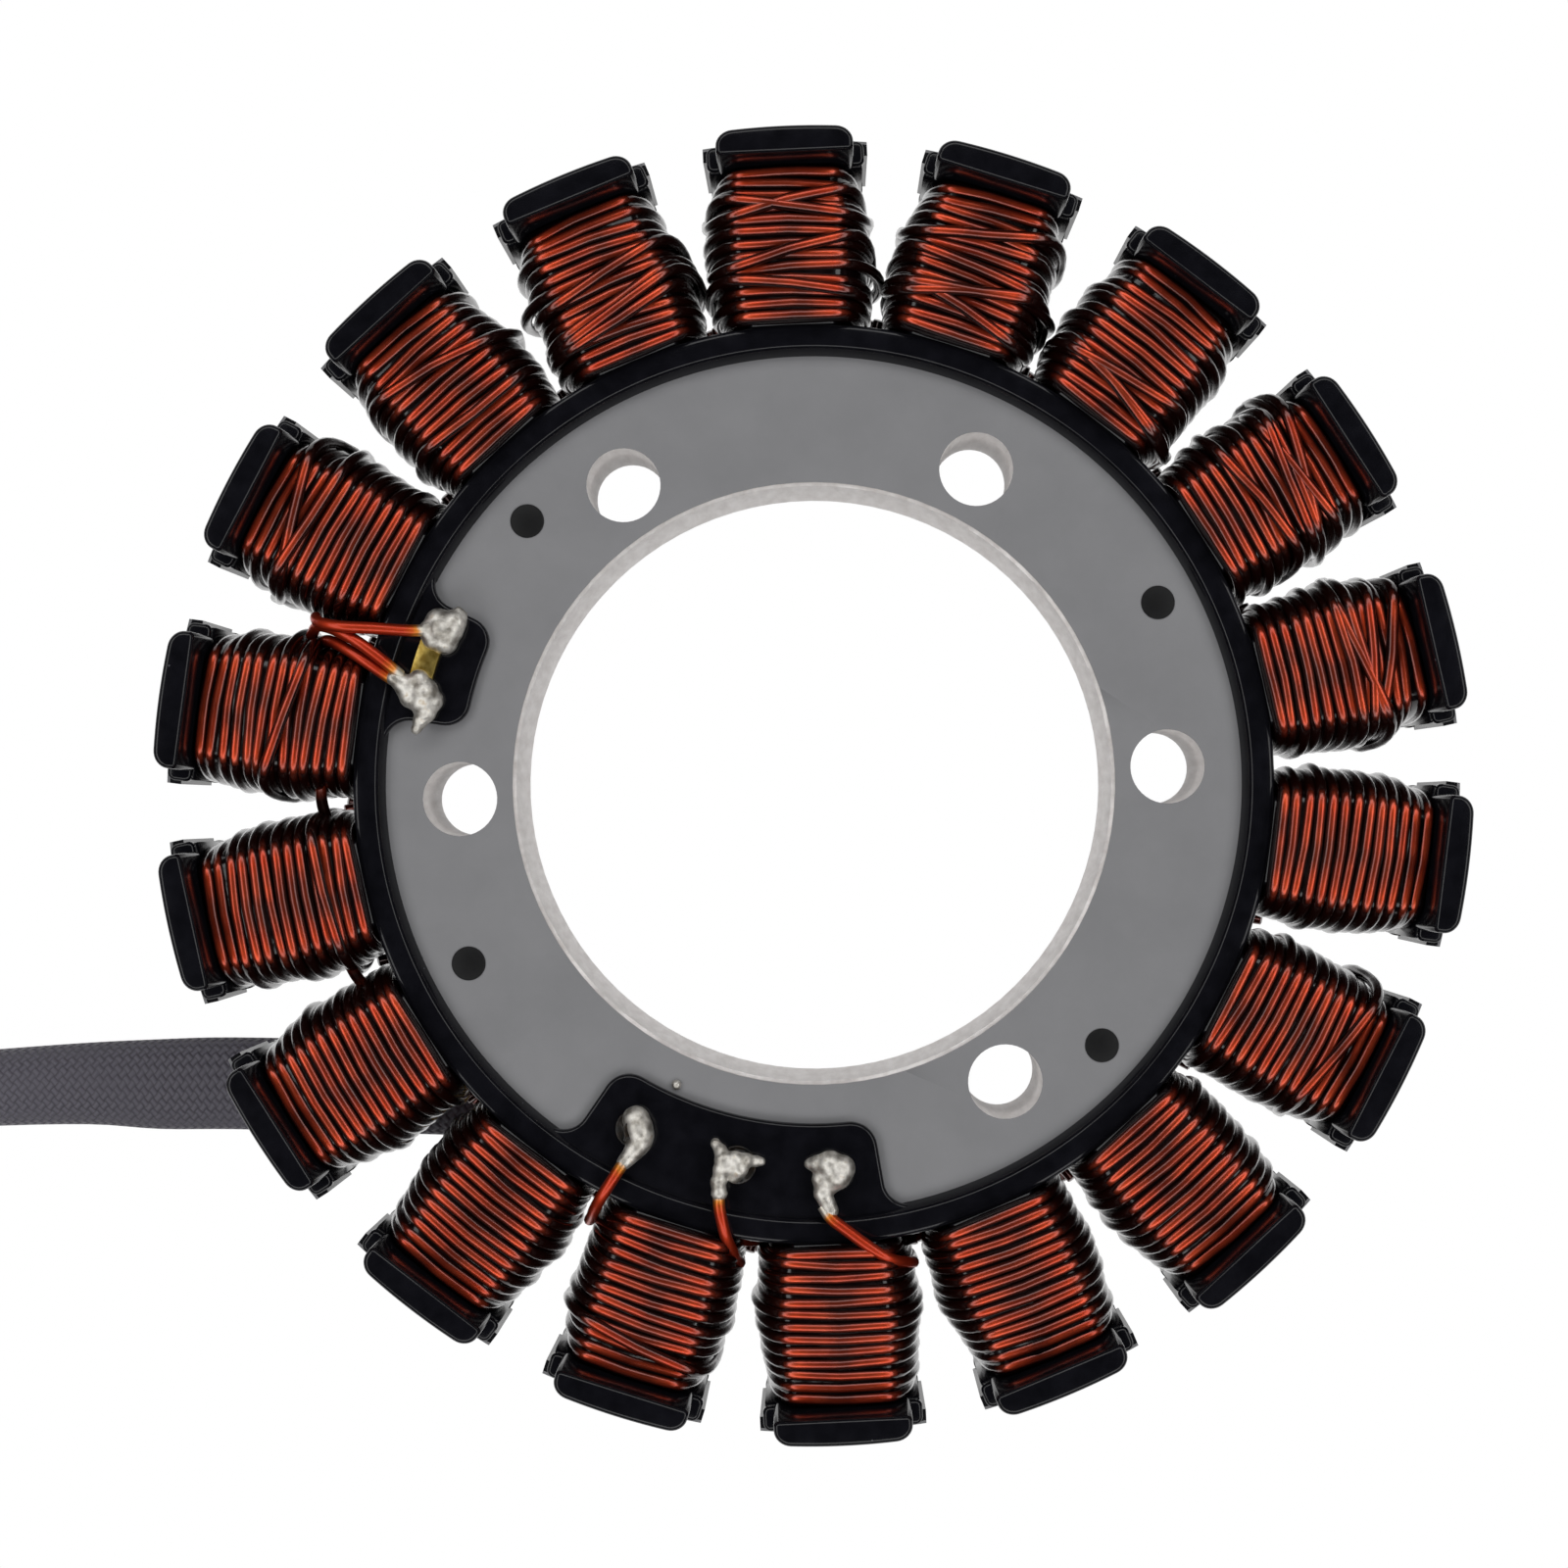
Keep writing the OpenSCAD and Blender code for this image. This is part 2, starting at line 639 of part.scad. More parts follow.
module connector_blades() {
    color("#C9A24A")
    for (k = [-1 : 1])
        translate([housing_end_x + blade_inset, housing_y + k * way_pitch, way_z]) {
            translate([0, -blade[1] / 2, -blade[2] / 2]) cube(blade);
            translate([blade[0], 0, 0]) rotate([0, 90, 0]) cylinder(d = barrel_d, h = barrel_l);
        }
}

module connector_wires() {
    barrel_end = housing_end_x + blade_inset + blade[0] + barrel_l;
    color("#D9B62C")
    for (k = [-1 : 1]) {
        start = [tail_end_x - eps, housing_y + 2 * k, lead_round_z + (k == 0 ? 1.4 : -0.8)];
        end = [barrel_end + eps, housing_y + k * way_pitch, way_z];
        route = concat(
            [for (d = [0, 1, 3]) start - [d, 0, 0]],
            [for (d = [8, 4, 0]) end + [d, 0, 0]]
        );
        round_wire(curve(route, 3), lead_wire_r);
    }
}

coil_names = [for (k = [1 : poles]) str("coil_", k < 10 ? "0" : "", k)];

lamination_core();
front_insulator();
rear_insulator();
core_rivets();
for (k = [1 : poles]) coil(k);
for (i = [0 : 2]) output_terminal(i);
neutral_link();
for (i = [0 : 2]) output_joint(i);
for (i = [0 : 1]) neutral_joint(i);
rear_solder_joints();
for (i = [0 : 2]) output_tail(i);
for (i = [0 : 2]) neutral_tail(i);
coil_crossovers();
for (i = [0 : 2]) phase_jumpers(i);
for (i = [0 : 2]) lead_wire(i);
lead_sleeve();
lead_coil();
lead_tie();
lead_tail();
connector_housing();
connector_blades();
connector_wires();
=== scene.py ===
import math
import random

import bpy
from mathutils import Matrix, Vector, noise


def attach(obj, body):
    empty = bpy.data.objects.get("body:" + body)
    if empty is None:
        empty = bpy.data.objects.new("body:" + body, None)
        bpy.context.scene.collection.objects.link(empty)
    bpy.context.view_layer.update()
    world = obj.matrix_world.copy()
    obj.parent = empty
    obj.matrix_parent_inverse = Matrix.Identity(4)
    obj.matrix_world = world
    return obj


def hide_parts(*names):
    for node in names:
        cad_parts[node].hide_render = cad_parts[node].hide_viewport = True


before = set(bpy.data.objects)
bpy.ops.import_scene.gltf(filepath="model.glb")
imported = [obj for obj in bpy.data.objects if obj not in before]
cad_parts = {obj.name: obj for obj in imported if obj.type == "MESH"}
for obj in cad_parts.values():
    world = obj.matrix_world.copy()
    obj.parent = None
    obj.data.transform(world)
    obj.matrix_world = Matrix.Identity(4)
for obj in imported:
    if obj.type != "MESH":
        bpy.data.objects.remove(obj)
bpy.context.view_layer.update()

# Studio
# The stator lies face up on a white table under a camera that looks straight down. Four wide soft boxes stand
# round the camera; the room above is dim, so that black mouldings stay black.

MM = 0.001
scene = bpy.context.scene
scene.view_settings.view_transform = "Standard"


def linear(hex_colour):
    """An sRGB hex value as linear RGBA."""
    parts = [int(hex_colour[i:i + 2], 16) / 255 for i in (1, 3, 5)]
    return tuple(c / 12.92 if c <= 0.04045 else ((c + 0.055) / 1.055) ** 2.4 for c in parts) + (1.0,)


def add(tree, kind, values=None, links=None, **settings):
    """Adds a shader node with its settings, its fixed socket values and its links."""
    made = tree.nodes.new("ShaderNode" + kind)
    for key, value in settings.items():
        setattr(made, key, value)
    for socket, value in (values or {}).items():
        made.inputs[socket].default_value = value
    for socket, source in (links or {}).items():
        tree.links.new(source, made.inputs[socket])
    return made


def new_material(name):
    """An empty node material and its tree."""
    material = bpy.data.materials.new(name)
    material.use_nodes = True
    material.node_tree.nodes.clear()
    return material, material.node_tree


camera_data = bpy.data.cameras.new("camera")
camera_data.sensor_width = 36
camera_data.lens = 72.9
camera_data.shift_x, camera_data.shift_y = -0.0292, -0.0403
camera_data.clip_start, camera_data.clip_end = 0.01, 20
camera = bpy.data.objects.new("camera", camera_data)
camera.location = (0.83 * MM, -2.52 * MM, 296.5 * MM)
camera.rotation_euler = (math.radians(1.619), math.radians(-0.095), math.radians(-2.641))
scene.collection.objects.link(camera)
scene.camera = camera

lamp_reach, lamp_height = 0.46, 0.53
for x, y in ((-1, 0), (1, 0), (0, 1), (0, -1)):
    light = bpy.data.lights.new("soft_box", "AREA")
    light.shape = "RECTANGLE"
    light.size, light.size_y = 0.8, 0.26
    light.energy = 1.7
    lamp = bpy.data.objects.new("soft_box", light)
    lamp.location = (x * lamp_reach, y * lamp_reach, lamp_height)
    lamp.rotation_euler = (-lamp.location).to_track_quat("-Z", "Y").to_euler()
    scene.collection.objects.link(lamp)

world = bpy.data.worlds.new("dim_room")
world.use_nodes = True
scene.world = world
world.node_tree.nodes.clear()
seen = add(world.node_tree, "LightPath")
dim = add(world.node_tree, "Background", {"Color": linear("#8C8E94"), "Strength": 0.08})
white = add(world.node_tree, "Background", {"Color": (1, 1, 1, 1), "Strength": 1.0})
both = add(world.node_tree, "MixShader", links={
    0: seen.outputs["Is Camera Ray"], 1: dim.outputs[0], 2: white.outputs[0]})
add(world.node_tree, "OutputWorld", links={"Surface": both.outputs[0]})

table_z = -11.16
bpy.ops.object.select_all(action="DESELECT")
bpy.ops.mesh.primitive_plane_add(size=8, location=(0, 0, table_z * MM))
table = bpy.context.object
table.name = "table"
white_table, tree = new_material("white_laminate_table")
seen = add(tree, "LightPath")
open_view = add(tree, "Math", operation="MAXIMUM", links={
    0: seen.outputs["Is Camera Ray"], 1: seen.outputs["Is Transmission Ray"]})
mirrored = add(tree, "Math", {1: 0.85}, {0: seen.outputs["Is Glossy Ray"]}, operation="MULTIPLY")
shown = add(tree, "Math", links={0: open_view.outputs[0], 1: mirrored.outputs[0]}, operation="MAXIMUM")
matt = add(tree, "BsdfDiffuse", {"Color": linear("#F6F6F6")})
glow = add(tree, "Emission", {"Color": (1, 1, 1, 1), "Strength": 1.0})
faced = add(tree, "MixShader", links={0: shown.outputs[0], 1: matt.outputs[0], 2: glow.outputs[0]})
clear = add(tree, "BsdfTransparent")
geometry = add(tree, "NewGeometry")
sided = add(tree, "MixShader", links={
    0: geometry.outputs["Backfacing"], 1: faced.outputs[0], 2: clear.outputs[0]})
add(tree, "OutputMaterial", links={"Surface": sided.outputs[0]})
table.data.materials.append(white_table)

# Lamination stack
# Electrical-steel sheets, stamped, stacked and pinned. The hub is left bare and grey; the teeth are dipped
# with the coils and black; the bore and the pole faces are ground, so that the edges of the sheets show.


def two_tones(tree, source, low, high, low_at=0.3, high_at=0.7):
    """A ramp between two hex colours."""
    ramp = add(tree, "ValToRGB", links={0: source})
    for element, at, colour in zip(ramp.color_ramp.elements, (low_at, high_at), (low, high)):
        element.position, element.color = at, linear(colour)
    return ramp.outputs[0]


def pick(piece):
    """Selects one piece alone and makes it active."""
    if bpy.context.object and bpy.context.object.mode != "OBJECT":
        bpy.ops.object.mode_set(mode="OBJECT")
    bpy.ops.object.select_all(action="DESELECT")
    piece.select_set(True)
    bpy.context.view_layer.objects.active = piece


def finish_copy(node, name, material, edge_mm=0.0, segments=2, angle=35):
    """A copy of a CAD node with its triangles joined, its edges rounded and its curves smoothed."""
    piece = bpy.data.objects.new(name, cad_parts[node].data.copy())
    piece.data.materials.clear()
    piece.data.materials.append(material)
    scene.collection.objects.link(piece)
    pick(piece)
    bpy.ops.object.mode_set(mode="EDIT")
    bpy.ops.mesh.select_all(action="SELECT")
    bpy.ops.mesh.remove_doubles(threshold=0.003 * MM)
    if edge_mm:
        bpy.ops.mesh.select_all(action="SELECT")
        bpy.ops.mesh.dissolve_limited(angle_limit=math.radians(0.3))
    bpy.ops.object.mode_set(mode="OBJECT")
    if edge_mm:
        bevel = piece.modifiers.new("edges", "BEVEL")
        bevel.width = edge_mm * MM
        bevel.segments = segments
        bevel.limit_method = "ANGLE"
        bevel.angle_limit = math.radians(angle)
        bpy.ops.object.modifier_apply(modifier="edges")
    bpy.ops.object.shade_smooth_by_angle(angle=math.radians(angle))
    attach(piece, "root")
    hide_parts(node)
    return piece


steel, tree = new_material("electrical_steel_stamped_and_ground")
place = add(tree, "TexCoord").outputs["Object"]
xyz = add(tree, "SeparateXYZ", links={0: place})
facing = add(tree, "NewGeometry")
normal = add(tree, "SeparateXYZ", links={0: facing.outputs["True Normal"]})
flatness = add(tree, "Math", links={0: normal.outputs["Z"]}, operation="ABSOLUTE")
wall = add(tree, "Math", {1: 0.85}, {0: flatness.outputs[0]}, operation="LESS_THAN").outputs[0]
sheet_mm = 0.5
sheet = add(tree, "Math", {1: 1 / (sheet_mm * MM)}, {0: xyz.outputs["Z"]}, operation="MULTIPLY")
across = add(tree, "Math", {1: 1.0}, {0: sheet.outputs[0]}, operation="PINGPONG")
seam = add(tree, "MapRange", {"From Min": 0.0, "From Max": 0.16, "To Min": 0.4, "To Max": 0.0},
           {"Value": across.outputs[0]}).outputs[0]
patches = add(tree, "TexNoise", {"Scale": 1 / (6 * MM), "Detail": 5.0, "Roughness": 0.6}, {"Vector": place})
grit = add(tree, "TexNoise", {"Scale": 1 / (0.35 * MM), "Detail": 3.0}, {"Vector": place})
drawn = add(tree, "Mapping", {"Scale": (1.0, 1.0, 0.16)}, {"Vector": place})
scuffs = add(tree, "TexNoise", {"Scale": 1 / (0.9 * MM), "Detail": 4.0}, {"Vector": drawn.outputs[0]})
face_grey = two_tones(tree, patches.outputs["Fac"], "#7B7B7D", "#818183")
wall_grey = two_tones(tree, scuffs.outputs["Fac"], "#CFC9C6", "#EAE6E4")
seamed = add(tree, "MixRGB", {"Color2": linear("#A0978F")}, {"Fac": seam, "Color1": wall_grey})
bare = add(tree, "MixRGB", links={"Fac": wall, "Color1": face_grey, "Color2": seamed.outputs[0]})
axis = add(tree, "CombineXYZ", links={0: xyz.outputs["X"], 1: xyz.outputs["Y"]})
radius = add(tree, "VectorMath", links={0: axis.outputs[0]}, operation="LENGTH")
dip_from, dip_to = 39.5, 57.25
past_ring = add(tree, "Math", {1: dip_from * MM}, {0: radius.outputs["Value"]}, operation="GREATER_THAN")
inside_tip = add(tree, "Math", {1: dip_to * MM}, {0: radius.outputs["Value"]}, operation="LESS_THAN")
teeth = add(tree, "Math", links={0: past_ring.outputs[0], 1: inside_tip.outputs[0]}, operation="MULTIPLY")
dipped = teeth.outputs[0]
colour = add(tree, "MixRGB", {"Color2": linear("#0D0D11")}, {"Fac": dipped, "Color1": bare.outputs[0]})
ground = add(tree, "Math", links={0: wall, 1: dipped}, operation="SUBTRACT", use_clamp=True)
metal = add(tree, "MapRange", {"To Min": 0.0, "To Max": 0.1}, {"Value": ground.outputs[0]})
plain = add(tree, "MapRange", {"To Min": 0.6, "To Max": 0.45}, {"Value": wall})
rough = add(tree, "Mix", {"B": 0.25}, {"Factor": dipped, "A": plain.outputs[0]})
lines = add(tree, "Math", links={0: seam, 1: wall}, operation="MULTIPLY")
relief = add(tree, "Math", links={0: grit.outputs["Fac"], 1: lines.outputs[0]}, operation="SUBTRACT")
bump = add(tree, "Bump", {"Strength": 0.12, "Distance": 0.05 * MM}, {"Height": relief.outputs[0]})
shader = add(tree, "BsdfPrincipled", {"IOR": 1.5}, {
    "Base Color": colour.outputs[0], "Metallic": metal.outputs[0], "Roughness": rough.outputs[0],
    "Normal": bump.outputs[0]})
add(tree, "OutputMaterial", links={"Surface": shader.outputs[0]})
finish_copy("lamination_core", "stack_of_sheets", steel, angle=25)

# Pins through the stack
# Steel pins pressed through the sheets, their flat heads blackened with the mouldings.

blacked, tree = new_material("blackened_steel_pins")
place = add(tree, "TexCoord").outputs["Object"]
grain = add(tree, "TexNoise", {"Scale": 1 / (0.3 * MM), "Detail": 3.0}, {"Vector": place})
tone = two_tones(tree, grain.outputs["Fac"], "#050506", "#0B0B0C")
bump = add(tree, "Bump", {"Strength": 0.2, "Distance": 0.03 * MM}, {"Height": grain.outputs["Fac"]})
shader = add(tree, "BsdfPrincipled", {"Roughness": 0.5, "Specular IOR Level": 0.25}, {
    "Base Color": tone, "Normal": bump.outputs[0]})
add(tree, "OutputMaterial", links={"Surface": shader.outputs[0]})
finish_copy("core_rivets", "stack_pins", blacked, 0.1, 2)

# Mouldings
# Two halves of glass-filled nylon over the teeth: ring, bobbins, pole flanges and terminal pads, gloss black
# under dip varnish, with the softly rounded edges that the tool leaves.

nylon, tree = new_material("glass_filled_nylon_moulded_and_varnished")
place = add(tree, "TexCoord").outputs["Object"]
ripple = add(tree, "TexNoise", {"Scale": 1 / (1.6 * MM), "Detail": 4.0}, {"Vector": place})
fine = add(tree, "TexNoise", {"Scale": 1 / (0.22 * MM), "Detail": 2.0}, {"Vector": place})
mixed = add(tree, "Math", {1: 0.3}, {0: fine.outputs["Fac"], 2: ripple.outputs["Fac"]},
            operation="MULTIPLY_ADD")
dust = add(tree, "TexVoronoi", {"Scale": 1 / (3 * MM)}, {"Vector": place})
speck = add(tree, "Math", {1: 0.03}, {0: dust.outputs["Distance"]}, operation="LESS_THAN")
shade = two_tones(tree, ripple.outputs["Fac"], "#0B0B0F", "#121217")
dusted = add(tree, "MixRGB", {"Color2": linear("#4A4A50")}, {"Fac": speck.outputs[0], "Color1": shade})
gloss = add(tree, "MapRange", {"To Min": 0.1, "To Max": 0.2}, {"Value": ripple.outputs["Fac"]})
bump = add(tree, "Bump", {"Strength": 0.2, "Distance": 0.05 * MM}, {"Height": mixed.outputs[0]})
shader = add(tree, "BsdfPrincipled", {"IOR": 1.5, "Specular IOR Level": 0.3}, {
    "Base Color": dusted.outputs[0], "Roughness": gloss.outputs[0], "Normal": bump.outputs[0]})
add(tree, "OutputMaterial", links={"Surface": shader.outputs[0]})


def arc(centre, r, a0, a1, n):
    """Points of an arc, in degrees."""
    return [(centre[0] + r * math.cos(math.radians(a0 + (a1 - a0) * i / n)),
             centre[1] + r * math.sin(math.radians(a0 + (a1 - a0) * i / n))) for i in range(n + 1)]


def polar(r, a, z=None):
    """A point at radius r and angle a in degrees."""
    p = (r * math.cos(math.radians(a)), r * math.sin(math.radians(a)))
    return p if z is None else p + (z,)


def moulded_block(outline, z0, z1, edge_mm, segments, draft=None):
    """An outline in mm drawn up from z0 to z1, its top narrowed for draft and the top's rim rounded."""
    mesh = bpy.data.meshes.new("block")
    mesh.from_pydata([(x * MM, y * MM, z0 * MM) for x, y in outline], [], [list(range(len(outline)))])
    piece = bpy.data.objects.new("block", mesh)
    scene.collection.objects.link(piece)
    pick(piece)
    bpy.ops.object.mode_set(mode="EDIT")
    bpy.ops.mesh.select_all(action="SELECT")
    bpy.ops.mesh.extrude_region_move(TRANSFORM_OT_translate={"value": (0, 0, (z1 - z0) * MM)})
    if draft:
        fixed_x, along, across = draft
        bpy.ops.transform.resize(value=(along, across, 1), center_override=(fixed_x * MM, 0, z1 * MM))
    bpy.ops.mesh.bevel(offset=edge_mm * MM, segments=segments, affect="EDGES", clamp_overlap=True)
    bpy.ops.mesh.select_all(action="SELECT")
    bpy.ops.mesh.normals_make_consistent(inside=False)
    bpy.ops.object.mode_set(mode="OBJECT")
    return piece


def spun_ring(profile, steps):
    """A closed profile of (radius, height) in mm turned round the bore's axis."""
    mesh = bpy.data.meshes.new("ring")
    n = len(profile)
    mesh.from_pydata([(r * MM, 0, z * MM) for r, z in profile], [(i, (i + 1) % n) for i in range(n)], [])
    piece = bpy.data.objects.new("ring", mesh)
    scene.collection.objects.link(piece)
    pick(piece)
    bpy.ops.object.mode_set(mode="EDIT")
    bpy.ops.mesh.select_all(action="SELECT")
    bpy.ops.mesh.spin(steps=steps, angle=2 * math.pi, center=(0, 0, 0), axis=(0, 0, 1))
    bpy.ops.mesh.select_all(action="SELECT")
    bpy.ops.mesh.remove_doubles(threshold=0.002 * MM)
    bpy.ops.mesh.normals_make_consistent(inside=False)
    bpy.ops.object.mode_set(mode="OBJECT")
    return piece


def joined(pieces, name):
    """Several blocks as one piece, its place in its mesh."""
    pick(pieces[0])
    for p in pieces[1:]:
        p.select_set(True)
    bpy.ops.object.join()
    bpy.ops.object.transform_apply(location=True, rotation=True, scale=True)
    pieces[0].name = pieces[0].data.name = name
    return pieces[0]


def pad_outline(r_in, a0, a1, r):
    """Plan of a terminal pad that grows out of the ring: fillet, corner, inner edge, corner, fillet."""
    ring_r, fillet = 38.05, 2.2
    corner = math.degrees(math.asin(r / (r_in + r)))
    at = ring_r + 0.25 - fillet
    turn = math.degrees(math.asin(fillet / at))
    return (arc(polar(at, a0 - turn), fillet, a0 - turn, a0 + 90, 10)
            + arc(polar(r_in + r, a0 + corner), r, a0 - 90, a0 + corner - 180, 10)
            + arc((0, 0), r_in, a0 + corner + 1, a1 - corner - 1, 24)
            + arc(polar(r_in + r, a1 - corner), r, a1 - corner + 180, a1 + 90, 10)
            + arc(polar(at, a1 + turn), fillet, a1 - 90, a1 + turn, 10)
            + arc((0, 0), ring_r + 1.2, a1 + turn, a0 - turn, 24))


poles, first_pole, pole_step = 18, 10, 20
stack_top, mid_z = 14.0, 7.0
cap_h, lip_h, flange_h, lining_h, pad_h = 7.5, 0.95, 0.3, 1.5, 1.0
cap_x, cap_out, cap_half, cap_corner = 54.6, 57.3, 6.1, 1.6
y = cap_half - cap_corner
corner_x = math.sqrt((cap_out - cap_corner) ** 2 - y ** 2)
lean = math.degrees(math.atan2(y, corner_x))
cap_plan = (arc((cap_x + 0.5, -cap_half + 0.5), 0.5, 180, 270, 4)
            + arc((corner_x, -y), cap_corner, -90, -lean, 8)
            + arc((0, 0), cap_out, -lean + 0.6, lean - 0.6, 12)
            + arc((corner_x, y), cap_corner, lean, 90, 8)
            + arc((cap_x + 0.5, cap_half - 0.5), 0.5, 90, 180, 4))
lip_plan = (arc((55.4, -6.45), 0.6, 180, 270, 4) + arc((56.3, -6.35), 0.7, -90, -8, 6)
            + arc((56.3, 6.35), 0.7, 8, 90, 6) + arc((55.4, 6.45), 0.6, 90, 180, 4))
flange_plan = [(54.6, -6.85), (55.8, -6.85), (55.8, 6.85), (54.6, 6.85)]
lining_plan = [(40.3, -4.05), (55.2, -4.05), (55.2, 4.05), (40.3, 4.05)]
# the ring's section, as radius and height over the face of the stack
ring_profile = ((40.0, -7.0), (40.8, -7.0), (40.8, 1.15), (40.74, 1.4), (40.6, 1.54), (40.35, 1.6),
                (38.98, 1.6), (38.84, 1.575), (38.72, 1.5), (38.44, 1.15), (38.22, 0.65), (38.05, -0.06),
                (40.0, -0.06))
# the pads, as inner radius, first and last angle and corner radius
output_pad = (30.2, 233, 277.3, 2.4)
star_pad = (31.3, 151.6, 168.6, 2.2)
for name, node, face, out, pads in (
        ("front_moulding", "front_insulator", stack_top, 1, (output_pad, star_pad)),
        ("rear_moulding", "rear_insulator", 0.0, -1, (output_pad,))):
    bobbin = joined([
        moulded_block(cap_plan, face - 0.5 * out, face + cap_h * out, 0.55, 5, (cap_out, 0.87, 0.985)),
        moulded_block(lip_plan, face - 0.4 * out, face + lip_h * out, 0.35, 3),
        moulded_block(flange_plan, mid_z, face + flange_h * out, 0.3, 2),
        moulded_block(lining_plan, mid_z, face + lining_h * out, 0.9, 4),
    ], name + "_bobbin")
    blocks = []
    for k in range(poles):
        copy = bpy.data.objects.new("bobbin", bobbin.data.copy())
        copy.data.transform(Matrix.Rotation(math.radians(first_pole + pole_step * k), 4, "Z"))
        scene.collection.objects.link(copy)
        blocks.append(copy)
    bpy.data.objects.remove(bobbin)
    blocks.append(spun_ring([(r, face + h * out) for r, h in ring_profile], 240))
    for plan in pads:
        blocks.append(moulded_block(pad_outline(*plan), face - 0.05 * out, face + pad_h * out, 0.45, 4))
    moulding = joined(blocks, name)
    moulding.data.materials.append(nylon)
    bpy.ops.object.shade_smooth_by_angle(angle=math.radians(38))
    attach(moulding, "root")
    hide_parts(node)

# Coils
# Enamelled copper wire, 1 mm, wound by machine on each pole and dipped in varnish, which pools between the
# turns. The last turns of the messier coils lie across the others.
# The turns are painted darker on their flanks, on the coil's sides and in patches in front, as painted shade.

wire_r, wire_sides = 0.53, 12
root_x, flange_x, half_h = 40.8, 54.6, 8.5
crown = 0.25


def section(share):
    """Half width at the middle of the stack, half width of the flat front and half height, along a coil."""
    swell = math.sin(math.pi * min(max(share, 0.0), 1.0))
    return 6.5 + 0.95 * swell ** 0.7, 3.9 + 0.4 * swell, half_h + 1.95 + 0.75 * swell ** 0.8


def round_the_coil(a, w, f, h):
    """A point on a coil's section, crowned in front and behind, bulged at the sides; a runs from 0 to 1."""
    a = (a % 1.0) * 4
    side = 1 if a < 2 else -1
    b = a if a < 2 else a - 2
    if 0.5 < b < 1.5:
        turn = (b - 0.5) * math.pi
        return side * (f + (w - f) * math.sin(turn)), -side * (h - crown) * math.cos(turn)
    out = 2 * min(b, 2 - b)
    return side * f * out, math.copysign(h - crown * out ** 2, side * (b - 1))


def winding(rng, mess):
    """Centre line of a coil's outer turns on a pole along +X, in mm; mess goes from 0 to 1."""
    points = []
    turns, steps = 13, 56
    first, last = root_x + 0.56, flange_x - 0.56
    pitch = (last - first) / (turns - 1)

    def loop(x0, x1, out, lean, bulge, lift):
        for k in range(steps):
            a = k / steps
            w, f, h = section((x0 - first) / (last - first))
            y, z = round_the_coil(a, w + out - wire_r, f + 0.5 * out, h + out - wire_r)
            front = max(0.0, z / h)
            y += bulge[0 if y > 0 else 1] * math.copysign(max(0.0, 1 - (z / h) ** 2), y)
            z += lift * front
            x = x0 + (x1 - x0) * max(0.0, (a - 0.5) * 2)
            x += lean * (y / w) * front ** 0.5
            x += 0.1 * mess * noise.noise((x0 * 3.1, a * 8.0, out * 5.0))
            points.append(Vector((min(max(x, first), last), y, mid_z + z)))

    for i in range(turns):
        x = last - i * pitch
        out = abs(rng.gauss(0, 0.04 + 0.04 * mess))
        bulge = [max(-0.1, rng.gauss(0.0, 0.12 + 0.3 * mess)) for _ in range(2)]
        lean = rng.gauss(0, 0.08 + 0.25 * mess)
        lift = abs(rng.gauss(0, 0.05 + 0.06 * mess))
        loop(x, x - pitch, out, lean, bulge, lift)
    for i in range(max(0, round(6 * mess - 1))):
        x = first + rng.uniform(0.15, 0.85) * (last - first)
        lean = rng.choice((-1, 1)) * rng.uniform(0.5, 2.0)
        bulge = [rng.uniform(-0.9, 0.1), rng.uniform(-0.9, 0.1)]
        loop(x, x + rng.uniform(-2, 2), 0.75 + 0.2 * rng.random(), lean, bulge, 0.0)
    return points


def wire(name, points):
    """A round enamelled wire along a line of points in mm, as a mesh."""
    data = bpy.data.curves.new(name, "CURVE")
    data.dimensions = "3D"
    data.bevel_depth = wire_r * MM
    data.bevel_resolution = wire_sides // 2 - 2
    data.use_fill_caps = True
    spline = data.splines.new("POLY")
    spline.points.add(len(points) - 1)
    for p, q in zip(spline.points, points):
        p.co = (q[0] * MM, q[1] * MM, q[2] * MM, 1)
    spline.use_smooth = True
    piece = bpy.data.objects.new(name, data)
    scene.collection.objects.link(piece)
    pick(piece)
    bpy.ops.object.convert(target="MESH")
    return bpy.context.object


def varnish_body(seed):
    """The varnish between the turns: a body just under them that wells up in places, in mm along +X."""
    rows, around = 34, 72
    verts, faces = [], []
    for i in range(rows + 1):
        x = root_x + 0.05 + i / rows * (flange_x - root_x - 0.1)
        w, f, h = section(i / rows)
        for j in range(around):
            y, z = round_the_coil(j / around, w - 0.34, f - 0.15, h - 0.34)
            pool = noise.noise((x * 0.35, y * 0.3, z * 0.3 + 7.1 * seed))
            swirl = noise.noise((x * 1.3, y * 1.3, z * 1.3 + 3.3 * seed))
            well = 0.09 * min(1.0, max(-1.0, pool * 3)) + 0.06 * swirl
            out = Vector((0, y / w ** 2, z / h ** 2)).normalized() * well
            verts.append((x, y + out.y, mid_z + z + out.z))
    for i in range(rows):
        for j in range(around):
            k, l = i * around + j, i * around + (j + 1) % around
            faces.append((k, l, l + around, k + around))
    faces.append(tuple(range(around - 1, -1, -1)))
    faces.append(tuple(rows * around + j for j in range(around)))
    return verts, faces


